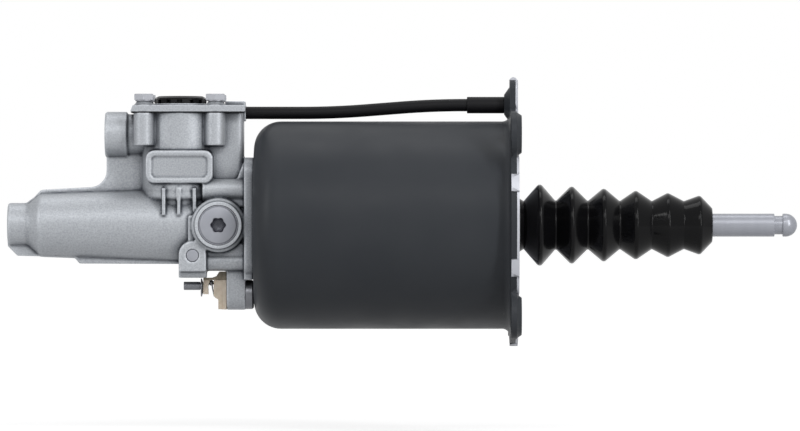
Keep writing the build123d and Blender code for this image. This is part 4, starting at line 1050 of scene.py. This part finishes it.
# Control valve
# Inside the tower a small hydraulic piston lifts an air piston, whose stem first shuts the exhaust and
# then opens the inlet valve. The seat and the guide are turned inserts with rubber rings.

for node in ("relay_piston", "control_piston", "valve_seat", "valve_guide", "inlet_poppet"):
    carried(node, machined)
for node in ("relay_seal", "control_o_ring", "seat_o_ring", "poppet_rubber"):
    carried(node, seal)


def spring_tree():
    """A round-wire spring along +Z from its point, conical where its two radii differ."""
    numbers = ["Turns", "Start Radius", "End Radius", "Length", "Wire"]
    tree, given = new_tree("coil_spring", numbers, Turn="Vector")
    line = add(
        tree, "GeometryNodeCurveSpiral",
        {"Resolution": 40, "Rotations": given["Turns"], "Start Radius": given["Start Radius"],
         "End Radius": given["End Radius"], "Height": given["Length"]},
    )
    circle = {"Resolution": 14, "Radius": given["Wire"]}
    section = add(tree, "GeometryNodeCurvePrimitiveCircle", circle, mode="RADIUS")
    inputs = {"Curve": line, "Profile Curve": section, "Fill Caps": True}
    return at_points(tree, add(tree, "GeometryNodeCurveToMesh", inputs), given)


def spring(name, node, start, turns, start_r, end_r, length, wire, turn):
    """A spring in place of a CAD one, which moves with that spring's body."""
    sizes = {"Turns": turns, "Start Radius": start_r * MM, "End Radius": end_r * MM,
             "Length": length * MM, "Wire": wire * MM, "Turn": turn}
    piece = grown(name, springs, [start], sizes, oiled, nodes[node]["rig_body"], [node])
    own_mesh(piece)


springs = spring_tree()
NO_TURN = (0.0, 0.0, 0.0)
spring(
    "control_spring_coil", "control_spring", (VALVE_X, 0, 36.65), turns=2.5, start_r=10.5, end_r=10.5,
    length=5.2, wire=0.6, turn=NO_TURN,
)
spring(
    "poppet_spring_coil", "poppet_spring", (VALVE_X, 0, 50.9), turns=3.0, start_r=7.2, end_r=7.2,
    length=4.05, wire=0.5, turn=NO_TURN,
)


# Air piston and plunger
# The air piston runs in the cylinder on a guide band and a lip seal. The hydraulic plunger stands in its
# hub, and a light conical spring behind it keeps the push rod against the clutch lever.

for node in ("air_piston", "plunger"):
    carried(node, machined)
for node in ("piston_seal", "plunger_seal"):
    carried(node, seal)
for node in ("piston_guide_ring", "rod_seat"):
    carried(node, acetal)
carried("seat_clip", oiled)
spring(
    "preload_spring_coil", "preload_spring", (-138.8, 0, 0), turns=5.0, start_r=37.5, end_r=25.0,
    length=109.6, wire=1.5, turn=TO_RIGHT,
)


# Push rod
# The push rod is turned from steel, with a ball in the piston's socket at one end and a grooved round
# tip for the clutch lever at the other.

def rod_steel():
    """Ground steel with fine marks round the rod."""
    metal = shader("rod_steel", (0.31, 0.32, 0.355), 0.36, 0.3, Specular_IOR_Level=0.25)
    tint(metal, noise(metal, 0.02, 3.0, (6, 1, 1)), (0.285, 0.295, 0.33), (0.315, 0.325, 0.36))
    spread(metal, noise(metal, 0.01, 2.0, (8, 0.5, 0.5)), 0.3, 0.36)
    return metal


ROD_R = 6.2
NECK_R = 5.4
TIP_X = 143.4
SHOULDER_X = 137.3
GROOVE_END_X = 141.8
GROOVE_R = 5.0
BALL_X = -36.0
BALL_R = 9.0
rod_line = arc(BALL_X, BALL_R, 48, 0, 38)
shaft = [rod_line[-1], (-26.2, NECK_R), (-24.5, NECK_R), (-23.3, ROD_R), (SHOULDER_X, ROD_R)]
shaft += [(SHOULDER_X, GROOVE_R)]
groove_end = [(GROOVE_END_X, GROOVE_R), (GROOVE_END_X, ROD_R), (TIP_X, ROD_R)]
rod_line += rounded(shaft, {1: 1.0, 4: 0.35})[1:]
rod_line += rounded(groove_end, {1: 0.3})
rod_line += arc(TIP_X, ROD_R, 32, 17, 32)
turned("push_rod_turned", rod_line, rod_steel(), "push_rod", "rod_steel", ["push_rod"], segments=80)


# Bellows
# The boot is moulded in black rubber with six folds that shrink towards the rod. Its bead snaps into the
# cover's hole and its neck grips the rod.

FOLDS = 6
BOOT_END_X = 103.7


def boot_rubber():
    """Smooth black rubber with the sheen of its mould."""
    rubber = shader("boot_rubber", (0.0035, 0.0035, 0.004), 0.14, Specular_IOR_Level=0.1)
    spread(rubber, noise(rubber, 0.008, 3.0), 0.11, 0.17)
    relief(rubber, noise(rubber, 0.0009, 2.0), 0.00001, 0.25)
    return rubber


def fold_tree():
    """A turned skin whose crests shrink from fold to fold between equal roots."""
    numbers = ["Pitch", "First X", "First Radius", "Shrink", "Root Radius", "Neck X", "Neck Radius"]
    tree, given = new_tree("folded_boot", numbers + ["Crest Round", "Root Round"], Folds="Int")
    count = calc(tree, "MULTIPLY_ADD", given["Folds"], 2.0, 1.0)
    points = add(tree, "GeometryNodeMeshLine", {"Count": count, "Offset": (MM, 0, 0)})
    index = add(tree, "GeometryNodeInputIndex")
    is_crest = calc(tree, "MODULO", index, 2.0)
    fold = calc(tree, "FLOOR", calc(tree, "MULTIPLY", index, 0.5))
    crest_r = calc(tree, "SUBTRACT", given["First Radius"], calc(tree, "MULTIPLY", fold, given["Shrink"]))
    rise = calc(tree, "SUBTRACT", crest_r, given["Root Radius"])
    radius = calc(tree, "MULTIPLY_ADD", rise, is_crest, given["Root Radius"])
    half_pitch = calc(tree, "MULTIPLY", given["Pitch"], 0.5)
    along = calc(tree, "MULTIPLY_ADD", calc(tree, "SUBTRACT", index, 1.0), half_pitch, given["First X"])
    is_last = calc(tree, "GREATER_THAN", index, calc(tree, "SUBTRACT", count, 1.5))
    to_neck_r = calc(tree, "SUBTRACT", given["Neck Radius"], radius)
    to_neck_x = calc(tree, "SUBTRACT", given["Neck X"], along)
    radius = calc(tree, "MULTIPLY_ADD", to_neck_r, is_last, radius)
    along = calc(tree, "MULTIPLY_ADD", to_neck_x, is_last, along)
    corner = vector(tree, along, radius)
    points = add(tree, "GeometryNodeSetPosition", {"Geometry": points, "Position": corner})
    profile = add(tree, "GeometryNodeMeshToCurve", {0: points})
    crest_extra = calc(tree, "SUBTRACT", given["Crest Round"], given["Root Round"])
    round_r = calc(tree, "MULTIPLY_ADD", crest_extra, is_crest, given["Root Round"])
    inputs = {"Curve": profile, "Count": 8, "Radius": round_r}
    profile = add(tree, "GeometryNodeFilletCurve", inputs, mode="POLY")
    inputs = {"Size X": 1.0, "Size Y": 1.0, "Vertices X": 380, "Vertices Y": 113}
    skin = add(tree, "GeometryNodeMeshGrid", inputs)
    where = add(tree, "ShaderNodeSeparateXYZ", {0: add(tree, "GeometryNodeInputPosition")})
    factor = calc(tree, "ADD", where.outputs[0], 0.5)
    angle = calc(tree, "MULTIPLY", where.outputs[1], 2 * pi)
    sample = add(tree, "GeometryNodeSampleCurve", {"Curves": profile, "Factor": factor}, mode="FACTOR")
    at = add(tree, "ShaderNodeSeparateXYZ", {0: sample.outputs["Position"]})
    across = calc(tree, "MULTIPLY", at.outputs[1], calc(tree, "SINE", angle))
    upward = calc(tree, "MULTIPLY", at.outputs[1], calc(tree, "COSINE", angle))
    place = vector(tree, at.outputs[0], across, upward)
    skin = add(tree, "GeometryNodeSetPosition", {"Geometry": skin, "Position": place})
    ends_in(tree, skin, given)
    return tree


rubber = boot_rubber()
folds = grown(
    "bellows_folds", fold_tree(), [],
    {"Folds": FOLDS, "Pitch": 17.3 * MM, "First X": 10.6 * MM, "First Radius": 23.0 * MM, "Shrink": 1.37 * MM,
     "Root Radius": 13.0 * MM, "Neck X": 103.3 * MM, "Neck Radius": 9.65 * MM, "Crest Round": 2.0 * MM,
     "Root Round": 0.7 * MM},
    rubber, "push_rod", ["bellows"], 60.0,
)
wall = folds.modifiers.new("wall", "SOLIDIFY")
wall.thickness = 1.8 * MM
wall.offset = -1.0
settled(folds)
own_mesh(folds)
neck_line = [(99.8, 6.25), (99.8, 8.6), (103.2, 9.66), (BOOT_END_X, 9.2), (BOOT_END_X, 6.25)]
neck_line = rounded(neck_line, {2: 0.3, 3: 0.3}, 4)
turned("bellows_neck", neck_line, rubber, "push_rod", "bellows_rubber", closed=True)
bead_line = [
    (-5.25, 10.6), (-5.25, 15.2), (-2.65, 15.2), (-2.65, 12.45), (-1.25, 12.45), (-1.25, 14.3),
    (-0.05, 14.3), (2.2, 12.9), (2.2, 10.6),
]
bead_line = rounded(bead_line, {1: 0.5, 2: 0.5, 5: 0.4, 6: 0.5}, 4)
turned("bellows_bead", bead_line, rubber, "housing", "bellows_rubber", closed=True)
